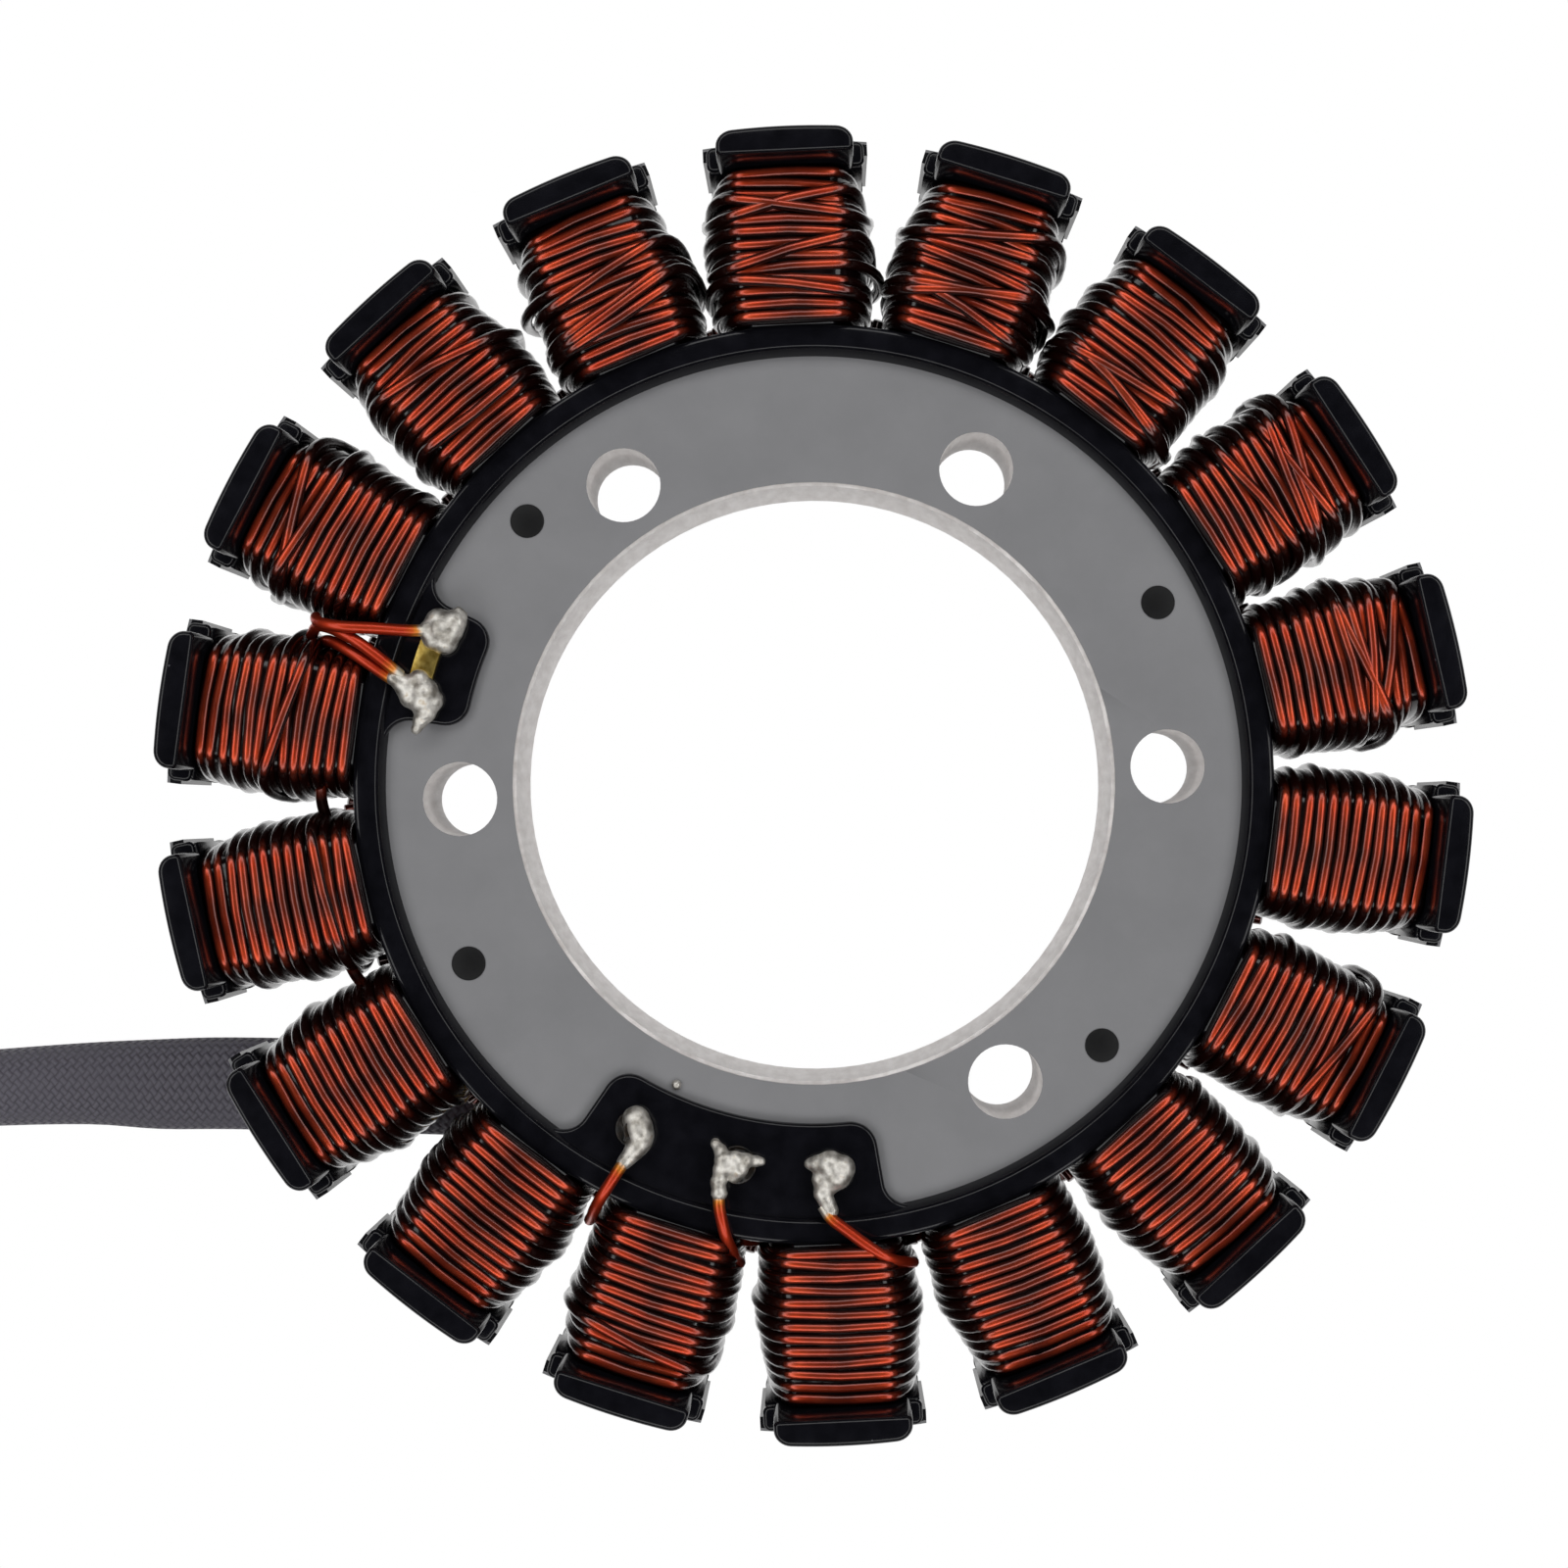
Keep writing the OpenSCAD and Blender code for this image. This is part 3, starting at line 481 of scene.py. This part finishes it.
def painted_shade_of_turn(q, normal, seed):
    """How much a turn is darkened, 0 to 1: painted shade on its flanks and past the coil's corners; in mid
    front, pooled varnish and painted shade.
    """
    w, f, h = section((q.x - root_x) / (flange_x - root_x))
    over = abs(q.y) - f
    aside = math.copysign(max(0.0, over) / (w - f) ** 2, q.y)
    out = Vector((0, aside, (q.z - mid_z) / h ** 2)).normalized()
    flank_shade = min(1.0, max(0.0, (0.99 - normal.dot(out)) / 0.2))
    corner = min(1.0, max(0.0, (over + 0.4 * noise.noise(q * 0.7)) / 1.1 + 0.15))
    patch = 0.6 + 0.7 * noise.noise(q * 0.45 + Vector((0, 0, 9 * seed)))
    pool = max(0.0, 1 - (q.y / (0.85 * f)) ** 2) * patch
    return 1 - (1 - flank_shade) * (1 - corner) * (1 - min(0.75, max(0.0, pool)))


enamel, tree = new_material("enamelled_copper_wire_varnished")
place = add(tree, "TexCoord").outputs["Object"]
tint = add(tree, "TexNoise", {"Scale": 1 / (3 * MM), "Detail": 3.0}, {"Vector": place})
copper = two_tones(tree, tint.outputs["Fac"], "#D2421F", "#F05C33")
# how far each point of a turn is darkened: painted shade on flanks and coil sides, pooled varnish with
# painted shade in mid front
varnish_and_shade = add(tree, "Attribute", attribute_name="varnish_and_painted_shade").outputs["Fac"]
soaked_and_shaded = add(tree, "MixRGB", {"Color2": linear("#1C0705")}, {"Fac": varnish_and_shade, "Color1": copper})
metal = add(tree, "MapRange", {"To Min": 1.0, "To Max": 0.3}, {"Value": varnish_and_shade})
rough = add(tree, "MapRange", {"To Min": 0.42, "To Max": 0.16}, {"Value": varnish_and_shade})
dribbles = add(tree, "TexNoise", {"Scale": 1 / (0.8 * MM), "Detail": 3.0}, {"Vector": place})
bump = add(tree, "Bump", {"Strength": 0.2, "Distance": 0.06 * MM}, {"Height": dribbles.outputs["Fac"]})
shader = add(tree, "BsdfPrincipled", {
    "Coat Weight": 0.35, "Coat Roughness": 0.16, "Coat IOR": 1.5}, {
    "Base Color": soaked_and_shaded.outputs[0], "Metallic": metal.outputs[0], "Roughness": rough.outputs[0],
    "Normal": bump.outputs[0], "Coat Normal": bump.outputs[0]})
add(tree, "OutputMaterial", links={"Surface": shader.outputs[0]})

varnish, tree = new_material("dip_varnish_pooled_with_painted_gap_shade")
place = add(tree, "TexCoord").outputs["Object"]
pools = add(tree, "TexNoise", {"Scale": 1 / (1.2 * MM), "Detail": 3.0}, {"Vector": place})
bump = add(tree, "Bump", {"Strength": 0.3, "Distance": 0.1 * MM}, {"Height": pools.outputs["Fac"]})
# near black: dark varnish, and painted shade in the gaps between the turns
varnish_with_gap_shade = two_tones(tree, pools.outputs["Fac"], "#070303", "#120506")
dull = add(tree, "MapRange", {"From Min": 0.3, "From Max": 0.7, "To Min": 0.1, "To Max": 0.22}, {
    "Value": pools.outputs["Fac"]})
shader = add(tree, "BsdfPrincipled", {"IOR": 1.48}, {
    "Base Color": varnish_with_gap_shade, "Roughness": dull.outputs[0], "Normal": bump.outputs[0]})
add(tree, "OutputMaterial", links={"Surface": shader.outputs[0]})

# how untidy each coil is in the photo, pole by pole
messiness = (1.0, 1.0, 0.7, 1.0, 0.9, 0.8, 0.5, 0.5, 0.4, 0.3, 0.25, 0.2, 0.35, 0.25, 0.2, 0.2, 0.35, 0.25)
for k in range(poles):
    rng = random.Random(100 + k)
    turned = Matrix.Rotation(math.radians(first_pole + pole_step * k), 3, "Z")
    coil = wire("turns", [turned @ p for p in winding(rng, messiness[k])])
    coil.data.materials.append(enamel)
    shade_layer = coil.data.attributes.new("varnish_and_painted_shade", "FLOAT", "POINT")
    back = turned.inverted()
    # the painted shade of every point of the turns, with the varnish over them
    shade_values = [painted_shade_of_turn(back @ v.co / MM, back @ v.normal, k) for v in coil.data.vertices]
    shade_layer.data.foreach_set("value", shade_values)
    verts, faces = varnish_body(k)
    mesh = bpy.data.meshes.new("varnish")
    mesh.from_pydata([(turned @ Vector(v)) * MM for v in verts], [], faces)
    mesh.materials.append(varnish)
    body = bpy.data.objects.new("varnish", mesh)
    scene.collection.objects.link(body)
    pick(body)
    bpy.ops.object.shade_smooth()
    coil = joined([coil, body], f"winding_{k + 1:02d}")
    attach(coil, "root")
    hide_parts(f"coil_{k + 1:02d}")

# Wires between the coils
# The same enamelled wire: short steps from coil to coil on the front, and long runs in three layers on the
# rear ring that join the coils of one phase.


def smooth_line(points, n):
    """A curve through the points, with n steps to each span."""
    p = [Vector(q) for q in points]
    line = []
    for i in range(len(p) - 1):
        a, b, c, d = p[max(i - 1, 0)], p[i], p[i + 1], p[min(i + 2, len(p) - 1)]
        for k in range(n):
            t = k / n
            line.append(0.5 * (2 * b + (c - a) * t + (2 * a - 5 * b + 4 * c - d) * t ** 2
                               + (3 * b - a - 3 * c + d) * t ** 3))
    return line + [p[-1]]


phase_runs = [finish_copy(f"phase_jumpers_{i}", f"phase_run_{i}", enamel, angle=60)
              for i in range(1, 4)]
# the steps, as radius, angle of the gap and height in mid gap
step_places = ((43.9, 180, 12.9), (44.3, 200, 12.9), (41.5, 260, 9.2), (41.8, 280, 9.2))
bridges = []
for r, a, z in step_places:
    x = r * math.cos(math.radians(pole_step / 2))
    before = Matrix.Rotation(math.radians(a - pole_step / 2), 3, "Z")
    after = Matrix.Rotation(math.radians(a + pole_step / 2), 3, "Z")
    points = (before @ Vector((x + 0.3, 4.6, z + 1.6)), before @ Vector((x + 0.2, 6.3, z + 0.9)),
              polar(r, a, z), after @ Vector((x, -6.3, z - 0.9)), after @ Vector((x, -4.6, z - 1.6)))
    bridges.append(wire("bridge", smooth_line(points, 8)))
coil_steps = joined(bridges, "coil_steps")
coil_steps.data.materials.append(enamel)
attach(coil_steps, "root")
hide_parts("coil_crossovers")
# the steps across the gaps and the rear runs are painted almost fully dark, as shade
for run in phase_runs + [coil_steps]:
    shade_layer = run.data.attributes.new("varnish_and_painted_shade", "FLOAT", "POINT")
    shade_values = [min(1.0, 0.9 + 0.3 * noise.noise(v.co / (3 * MM))) for v in run.data.vertices]
    shade_layer.data.foreach_set("value", shade_values)

# Terminals and star-point link
# Brass pins through the mouldings with a washer under each joint, dark with varnish and flux, and a bent
# brass strip that joins the coil ends at the star point.

brass, tree = new_material("brass_stamped_and_tinned_by_the_joint")
place = add(tree, "TexCoord").outputs["Object"]
blotch = add(tree, "TexNoise", {"Scale": 1 / (0.7 * MM), "Detail": 4.0}, {"Vector": place})
yellow = two_tones(tree, blotch.outputs["Fac"], "#8C6A1E", "#D8BE6A")
bump = add(tree, "Bump", {"Strength": 0.3, "Distance": 0.05 * MM}, {"Height": blotch.outputs["Fac"]})
shader = add(tree, "BsdfPrincipled", {"Metallic": 1.0, "Roughness": 0.35}, {
    "Base Color": yellow, "Normal": bump.outputs[0]})
add(tree, "OutputMaterial", links={"Surface": shader.outputs[0]})
dark_brass, tree = new_material("brass_under_varnish_and_flux")
place = add(tree, "TexCoord").outputs["Object"]
flow = add(tree, "TexNoise", {"Scale": 1 / (0.8 * MM), "Detail": 4.0}, {"Vector": place})
tone = two_tones(tree, flow.outputs["Fac"], "#0A0908", "#2A1E10", 0.4, 0.75)
bump = add(tree, "Bump", {"Strength": 0.3, "Distance": 0.08 * MM}, {"Height": flow.outputs["Fac"]})
shader = add(tree, "BsdfPrincipled", {"Roughness": 0.2}, {"Base Color": tone, "Normal": bump.outputs[0]})
add(tree, "OutputMaterial", links={"Surface": shader.outputs[0]})
for i in range(1, 4):
    finish_copy(f"output_terminal_{i}", f"output_pin_{i}", dark_brass, 0.1, 2)
finish_copy("neutral_link", "star_point_strip", brass, 0.12, 2)

# Solder
# Tin solder, hand-laid: it runs over the pin and up the wire and sets in lumps and tips, bright where it ran
# smooth and greyer where flux was caught.

solder, tree = new_material("tin_solder_hand_laid")
place = add(tree, "TexCoord").outputs["Object"]
lumps = add(tree, "TexNoise", {"Scale": 1 / (0.9 * MM), "Detail": 4.0}, {"Vector": place})
grain = add(tree, "TexNoise", {"Scale": 1 / (0.2 * MM), "Detail": 2.0}, {"Vector": place})
tin = two_tones(tree, lumps.outputs["Fac"], "#A29D94", "#EAE7E0", 0.36, 0.6)
caught = add(tree, "MapRange", {"From Min": 0.62, "From Max": 0.74, "To Max": 0.5}, {
    "Value": lumps.outputs["Fac"]})
flux = add(tree, "MixRGB", {"Color2": linear("#A9873E")}, {"Fac": caught.outputs[0], "Color1": tin})
rough = add(tree, "MapRange", {"To Min": 0.42, "To Max": 0.62}, {"Value": lumps.outputs["Fac"]})
height = add(tree, "Math", {1: 0.25}, {0: grain.outputs["Fac"], 2: lumps.outputs["Fac"]},
             operation="MULTIPLY_ADD")
bump = add(tree, "Bump", {"Strength": 0.08, "Distance": 0.1 * MM}, {"Height": height.outputs[0]})
shader = add(tree, "BsdfPrincipled", {"Metallic": 1.0}, {
    "Base Color": flux.outputs[0], "Roughness": rough.outputs[0], "Normal": bump.outputs[0]})
add(tree, "OutputMaterial", links={"Surface": shader.outputs[0]})


def solder_lump(name, drops, seed):
    """Drops of solder, as x, y, z and radius in mm, run together into one lump."""
    # smoothing takes about this much off a drop
    shrinkage, voxel = 0.24, 0.13
    bpy.ops.object.select_all(action="DESELECT")
    parts = []
    for x, y, z, r in drops:
        bpy.ops.mesh.primitive_ico_sphere_add(subdivisions=3, radius=r + shrinkage, location=(x, y, z))
        parts.append(bpy.context.object)
    lump = joined(parts, name)
    melt = lump.modifiers.new("melt", "REMESH")
    melt.mode = "VOXEL"
    melt.voxel_size = voxel
    bpy.ops.object.modifier_apply(modifier="melt")
    ease = lump.modifiers.new("ease", "SMOOTH")
    ease.factor, ease.iterations = 0.5, 26
    bpy.ops.object.modifier_apply(modifier="ease")
    for v in lump.data.vertices:
        v.co += v.normal * 0.05 * noise.noise(v.co * 0.8 + Vector((seed, 0, 0)))
        v.co *= MM
    bpy.ops.object.shade_smooth()
    lump.data.materials.append(solder)
    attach(lump, "root")
    return lump


joints = (
    ((-17.0, -28.9, 16.0, 1.0), (-16.8, -29.5, 16.2, 1.05), (-16.65, -30.2, 16.2, 1.02),
     (-16.75, -30.8, 16.1, 0.95), (-17.05, -31.3, 16.2, 0.8), (-17.4, -31.75, 16.3, 0.66),
     (-17.8, -32.2, 16.4, 0.54), (-18.2, -32.6, 16.5, 0.46), (-13.4, -26.2, 14.15, 0.28)),
    ((-10.1, -31.3, 16.2, 0.3), (-9.65, -31.95, 16.5, 0.42), (-9.5, -32.7, 16.8, 0.55),
     (-8.45, -32.75, 16.9, 0.62), (-7.5, -32.85, 16.7, 0.5), (-6.6, -33.0, 16.4, 0.34),
     (-6.1, -33.1, 16.3, 0.2), (-8.1, -33.6, 16.9, 0.62), (-8.5, -34.3, 16.6, 0.4),
     (-9.2, -33.3, 16.8, 0.6), (-9.7, -33.6, 16.7, 0.55), (-10.0, -34.7, 16.7, 0.54),
     (-9.95, -35.6, 16.8, 0.52), (-8.5, -33.3, 15.9, 0.8)),
    ((-1.85, -33.5, 16.2, 0.36), (-1.2, -33.5, 16.4, 0.6), (-0.1, -33.6, 16.5, 1.05),
     (0.9, -34.0, 16.4, 1.0), (0.45, -34.6, 16.6, 1.05), (-0.2, -35.1, 16.4, 0.9),
     (-0.95, -34.9, 16.3, 0.65), (-0.85, -36.1, 16.4, 0.66), (-0.5, -37.0, 16.6, 0.55),
     (-0.2, -37.6, 16.7, 0.48)),
    ((-32.5, 15.71, 16.2, 1.0), (-31.14, 15.57, 16.2, 0.95), (-32.95, 14.34, 16.1, 0.9),
     (-32.01, 13.97, 16.1, 1.0), (-31.53, 14.92, 16.3, 1.05), (-32.25, 15.03, 16.4, 1.1),
     (-30.42, 16.16, 16.2, 0.36), (-30.69, 16.57, 16.3, 0.24), (-33.48, 15.0, 16.5, 0.62)),
    ((-35.4, 10.0, 16.2, 0.95), (-36.1, 10.6, 16.5, 0.6), (-36.6, 10.9, 16.7, 0.46),
     (-34.4, 10.7, 16.4, 0.7), (-34.0, 9.6, 16.4, 1.1), (-34.2, 8.7, 16.2, 1.0), (-33.4, 8.8, 16.0, 0.85),
     (-34.0, 7.8, 16.0, 0.8), (-34.5, 7.0, 16.0, 0.5), (-34.9, 6.3, 15.9, 0.3), (-35.2, 9.2, 16.1, 0.85)),
)
for i, drops in enumerate(joints):
    lump = solder_lump(f"joint_{i + 1}", drops, 3.7 * i)
    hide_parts(f"solder_joint_{i + 1}")
rear_drops = []
pin_r, pin_angles = 34.4, (240, 256, 270.5)
for a in pin_angles:
    x, y = polar(pin_r, a)
    rear_drops += [(x, y, -2.4, 1.75), (x - 0.9, y + 0.2, -2.6, 1.1), (x + 0.5, y - 0.7, -2.5, 1.2)]
lump = solder_lump("rear_joints", rear_drops, 31.0)
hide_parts("rear_solder_joints")

# Coil ends
# The ends of the windings, bare and tinned where they enter the solder, amber where the heat has browned the
# enamel, and red from there to the coil.


def led_tube(name, line, sizes, sides):
    """A tube along a line in mm, with its half width and half height at each point and a UV map in mm."""
    verts, faces, along = [], [], [0.0]
    for i in range(1, len(line)):
        along.append(along[-1] + (line[i] - line[i - 1]).length)
    side = None
    for i, p in enumerate(line):
        ahead = (line[min(i + 1, len(line) - 1)] - line[max(i - 1, 0)]).normalized()
        flat = ahead.cross(Vector((0, 0, 1)))
        if flat.length > 0.2 or side is None:
            side = flat.normalized()
        else:
            side = (side - ahead * side.dot(ahead)).normalized()
        up = side.cross(ahead)
        for j in range(sides):
            a = 2 * math.pi * j / sides
            verts.append((p + side * sizes[i][0] * math.cos(a) + up * sizes[i][1] * math.sin(a)) * MM)
    for i in range(len(line) - 1):
        for j in range(sides):
            k, l = i * sides + j, i * sides + (j + 1) % sides
            faces.append((k, k + sides, l + sides, l))
    n = len(faces)
    faces += [tuple(range(sides)), tuple(len(verts) - 1 - j for j in range(sides))]
    mesh = bpy.data.meshes.new(name)
    mesh.from_pydata(verts, [], faces)
    layer = mesh.uv_layers.new(name="along")
    for f, polygon in enumerate(mesh.polygons):
        for c, loop in enumerate(polygon.loop_indices):
            if f < n:
                i, j = divmod(f, sides)
                layer.data[loop].uv = ((j + (c > 1)) / sides, along[i + (c in (1, 2))])
    piece = bpy.data.objects.new(name, mesh)
    scene.collection.objects.link(piece)
    pick(piece)
    bpy.ops.object.shade_smooth_by_angle(angle=math.radians(50))
    return piece


browned, tree = new_material("enamelled_copper_end_tinned_and_browned")
uv = add(tree, "UVMap", uv_map="along")
reach = add(tree, "SeparateXYZ", links={0: uv.outputs[0]})
place = add(tree, "TexCoord").outputs["Object"]
wander = add(tree, "TexNoise", {"Scale": 1 / (0.8 * MM), "Detail": 2.0}, {"Vector": place})
far = add(tree, "Math", {1: 0.7}, {0: wander.outputs["Fac"], 2: reach.outputs["Y"]}, operation="MULTIPLY_ADD")
share = add(tree, "MapRange", {"From Min": 0.0, "From Max": 6.0}, {"Value": far.outputs[0]})
stages = add(tree, "ValToRGB", links={0: share.outputs[0]})
ramp = stages.color_ramp
ramp.elements[0].position, ramp.elements[0].color = 0.16, linear("#CFC9BC")
ramp.elements[1].position, ramp.elements[1].color = 0.4, linear("#BC3A1C")
for at, tone in ((0.22, "#D98B33"), (0.3, "#C8561E")):
    element = ramp.elements.new(at)
    element.color = linear(tone)
bump = add(tree, "Bump", {"Strength": 0.2, "Distance": 0.05 * MM}, {"Height": wander.outputs["Fac"]})
shader = add(tree, "BsdfPrincipled", {
    "Metallic": 0.9, "Roughness": 0.46, "Coat Weight": 0.3, "Coat Roughness": 0.1, "Coat IOR": 1.5}, {
    "Base Color": stages.outputs[0], "Normal": bump.outputs[0]})
add(tree, "OutputMaterial", links={"Surface": shader.outputs[0]})

ends = {
    "output_tail_1": ((-17.9, -32.2, 16.4), (-18.6, -33.1, 16.7), (-19.6, -34.5, 16.6), (-20.5, -35.8, 16.1),
                      (-21.1, -36.8, 14.9), (-21.5, -37.6, 12.6), (-21.9, -38.2, 10.5)),
    "output_tail_2": ((-9.95, -35.4, 16.5), (-10.0, -36.7, 16.9), (-9.8, -38.2, 16.8), (-9.5, -39.7, 16.3),
                      (-9.1, -41.0, 15.0), (-8.9, -41.9, 12.8), (-8.6, -42.6, 10.8)),
    "output_tail_3": ((-0.9, -37.2, 16.6), (-0.2, -38.3, 16.9), (1.0, -39.3, 17.0), (3.4, -41.2, 17.0),
                      (5.0, -42.2, 16.4), (6.2, -42.7, 14.6), (6.9, -43.1, 12.0)),
    "neutral_tail_1": ((-33.5, 15.0, 16.6), (-35.0, 15.0, 17.1), (-38.0, 15.3, 17.8), (-41.0, 15.6, 17.8),
                       (-42.9, 16.1, 16.8), (-43.5, 16.7, 14.8)),
    "neutral_tail_2": ((-36.0, 11.1, 16.6), (-37.0, 12.1, 17.2), (-39.4, 14.1, 17.3), (-41.6, 15.4, 16.6),
                       (-43.3, 15.9, 15.0), (-44.3, 15.2, 12.6)),
    "neutral_tail_3": ((-36.1, 10.4, 16.4), (-37.3, 11.2, 16.5), (-39.6, 12.9, 16.3), (-41.8, 14.3, 15.2),
                       (-43.0, 14.6, 13.6), (-43.2, 14.0, 11.6)),
}
for node, points in ends.items():
    line = smooth_line(points, 8)
    tail = led_tube(node.replace("tail", "coil_end"), line, [(wire_r, wire_r)] * len(line), 10)
    tail.data.materials.append(browned)
    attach(tail, "root")
    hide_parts(node)

# Lead wires
# Three stranded wires in yellow insulation, from the rear joints into the sleeve.

yellow_skin, tree = new_material("yellow_wire_insulation_extruded")
place = add(tree, "TexCoord").outputs["Object"]
smear = add(tree, "TexNoise", {"Scale": 1 / (1.5 * MM), "Detail": 4.0}, {"Vector": place})
tone = two_tones(tree, smear.outputs["Fac"], "#B8961F", "#DCBB35")
bump = add(tree, "Bump", {"Strength": 0.15, "Distance": 0.05 * MM}, {"Height": smear.outputs["Fac"]})
shader = add(tree, "BsdfPrincipled", {"Roughness": 0.4}, {"Base Color": tone, "Normal": bump.outputs[0]})
add(tree, "OutputMaterial", links={"Surface": shader.outputs[0]})
for i in range(1, 4):
    finish_copy(f"lead_wire_{i}", f"lead_core_{i}", yellow_skin, angle=60)

# Sleeve of the lead
# A braid of glass yarn, soaked in dark grey resin, pulled over the three wires. It is pressed flat under the
# poles, then round; the length that isn't in use is wound in a coil of two layers.

floor_z, lead_r = -11.12, 3.3
# first stretch, flat and then round, as x, y, width and half height
route = ((-33, -28, 8.4, 1.8), (-45, -26.9, 8.8, 1.8), (-57, -26.05, 8.8, 1.8), (-64, -25.8, 8.6, 1.85),
         (-71, -25.4, 7.8, 2.1), (-82, -25.4, 7.2, 2.6), (-95, -25.8, 6.8, 3.3), (-111, -26, 6.6, 3.3),
         (-127, -26, 6.6, 3.3))
points = [(x, y, floor_z + h) for x, y, w, h in route]
halves = [(w / 2, h, 0) for x, y, w, h in route]
# the coil, whose second layer climbs over the first and swings inward as it does
coil_c, coil_r = (-127, 10), 36
for a in range(15, 676, 15):
    climb = min(1.0, max(0.0, (a - 318) / 46))
    climb = climb * climb * (3 - 2 * climb)
    dip = 5.2 * math.exp(-((a - 347) / 17) ** 2)
    x, y = polar(coil_r - dip, -90 - a)
    points.append((coil_c[0] + x, coil_c[1] + y, floor_z + lead_r + 2 * lead_r * climb))
    halves.append((lead_r, lead_r, 0))
# from the coil to the connector, as x, y and height over the floor
way_out = ((-106.35, -19.49, 9.9), (-111.5, -23.4, 9.9), (-118, -27.8, 9.9), (-130, -37, 7.5),
           (-142, -43, 4), (-149, -44, 3.3), (-156, -44, 3.3))
for x, y, h in way_out:
    points.append((x, y, floor_z + h))
    halves.append((lead_r, lead_r, 0))
line = smooth_line(points, 4)
sizes = smooth_line(halves, 4)
sleeve = led_tube("lead_braid", line, sizes, 36)

braid, tree = new_material("glass_yarn_braid_resin_soaked")
uv = add(tree, "UVMap", uv_map="along")
across = add(tree, "SeparateXYZ", links={0: uv.outputs[0]})
# yarns are 0.85 mm apart along the lead, 24 to a turn
yarn_mm, yarn_count = 0.85, 24.0
yarns = add(tree, "Math", {1: yarn_count}, {0: across.outputs["X"]}, operation="MULTIPLY")
steps = add(tree, "Math", {1: 1 / yarn_mm}, {0: across.outputs["Y"]}, operation="MULTIPLY")
one = add(tree, "Math", links={0: yarns.outputs[0], 1: steps.outputs[0]}, operation="ADD")
two = add(tree, "Math", links={0: yarns.outputs[0], 1: steps.outputs[0]}, operation="SUBTRACT")
crowns = []
for line_of in (one, two):
    turned = add(tree, "Math", {1: math.pi}, {0: line_of.outputs[0]}, operation="MULTIPLY")
    wave = add(tree, "Math", links={0: turned.outputs[0]}, operation="SINE")
    crowns.append(add(tree, "Math", links={0: wave.outputs[0]}, operation="ABSOLUTE"))
cells = [add(tree, "Math", links={0: line_of.outputs[0]}, operation="FLOOR") for line_of in (one, two)]
total = add(tree, "Math", links={0: cells[0].outputs[0], 1: cells[1].outputs[0]}, operation="ADD")
halved = add(tree, "Math", {1: 0.5}, {0: total.outputs[0]}, operation="MULTIPLY")
parity = add(tree, "Math", links={0: halved.outputs[0]}, operation="FRACT")
upper = add(tree, "Math", {1: 0.25}, {0: parity.outputs[0]}, operation="GREATER_THAN")
weave = add(tree, "Mix", links={
    "Factor": upper.outputs[0], "A": crowns[0].outputs[0], "B": crowns[1].outputs[0]})
place = add(tree, "TexCoord").outputs["Object"]
resin = add(tree, "TexNoise", {"Scale": 1 / (4 * MM), "Detail": 4.0}, {"Vector": place})
# the yarns are painted darker in the valleys between them, as shade, and lighter on their crowns
yarn_and_valley_shade = two_tones(tree, weave.outputs[0], "#2C2A31", "#5D5A64", 0.1, 0.9)
soaked_and_shaded = add(tree, "MixRGB", {"Color2": linear("#4F4C56")}, {
    "Fac": resin.outputs["Fac"], "Color1": yarn_and_valley_shade})
bump = add(tree, "Bump", {"Strength": 0.6, "Distance": 0.2 * MM}, {"Height": weave.outputs[0]})
shader = add(tree, "BsdfPrincipled", {"Roughness": 0.55, "Sheen Weight": 0.1}, {
    "Base Color": soaked_and_shaded.outputs[0], "Normal": bump.outputs[0]})
add(tree, "OutputMaterial", links={"Surface": shader.outputs[0]})
sleeve.data.materials.append(braid)
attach(sleeve, "root")
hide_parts("lead_sleeve", "lead_coil", "lead_tail")

# Tie and connector
# A nylon band holds the coiled lead. The three wires end in brass blades in a natural nylon housing with a
# latch, moulded in one piece.

black_nylon, tree = new_material("nylon_tie_moulded")
place = add(tree, "TexCoord").outputs["Object"]
ribs = add(tree, "TexNoise", {"Scale": 1 / (0.5 * MM), "Detail": 3.0}, {"Vector": place})
tone = two_tones(tree, ribs.outputs["Fac"], "#1D1D21", "#2B2B30")
bump = add(tree, "Bump", {"Strength": 0.2, "Distance": 0.05 * MM}, {"Height": ribs.outputs["Fac"]})
shader = add(tree, "BsdfPrincipled", {"Roughness": 0.4}, {"Base Color": tone, "Normal": bump.outputs[0]})
add(tree, "OutputMaterial", links={"Surface": shader.outputs[0]})
tie = finish_copy("lead_tie", "lead_band", black_nylon, 0.25, 3)

milky_nylon, tree = new_material("natural_nylon_moulded")
place = add(tree, "TexCoord").outputs["Object"]
cloud = add(tree, "TexNoise", {"Scale": 1 / (3 * MM), "Detail": 4.0}, {"Vector": place})
grain = add(tree, "TexNoise", {"Scale": 1 / (0.25 * MM), "Detail": 2.0}, {"Vector": place})
tone = two_tones(tree, cloud.outputs["Fac"], "#D9D3C2", "#E8E3D5")
bump = add(tree, "Bump", {"Strength": 0.12, "Distance": 0.04 * MM}, {"Height": grain.outputs["Fac"]})
shader = add(tree, "BsdfPrincipled", {
    "Roughness": 0.42, "Subsurface Weight": 0.15, "Subsurface Scale": 1 * MM}, {
    "Base Color": tone, "Normal": bump.outputs[0]})
add(tree, "OutputMaterial", links={"Surface": shader.outputs[0]})
housing = finish_copy("connector_housing", "connector_shell", milky_nylon, 0.3, 3)
blades = finish_copy("connector_blades", "connector_pins", brass, 0.08, 2)
cores = finish_copy("connector_wires", "connector_cores", yellow_skin, angle=60)
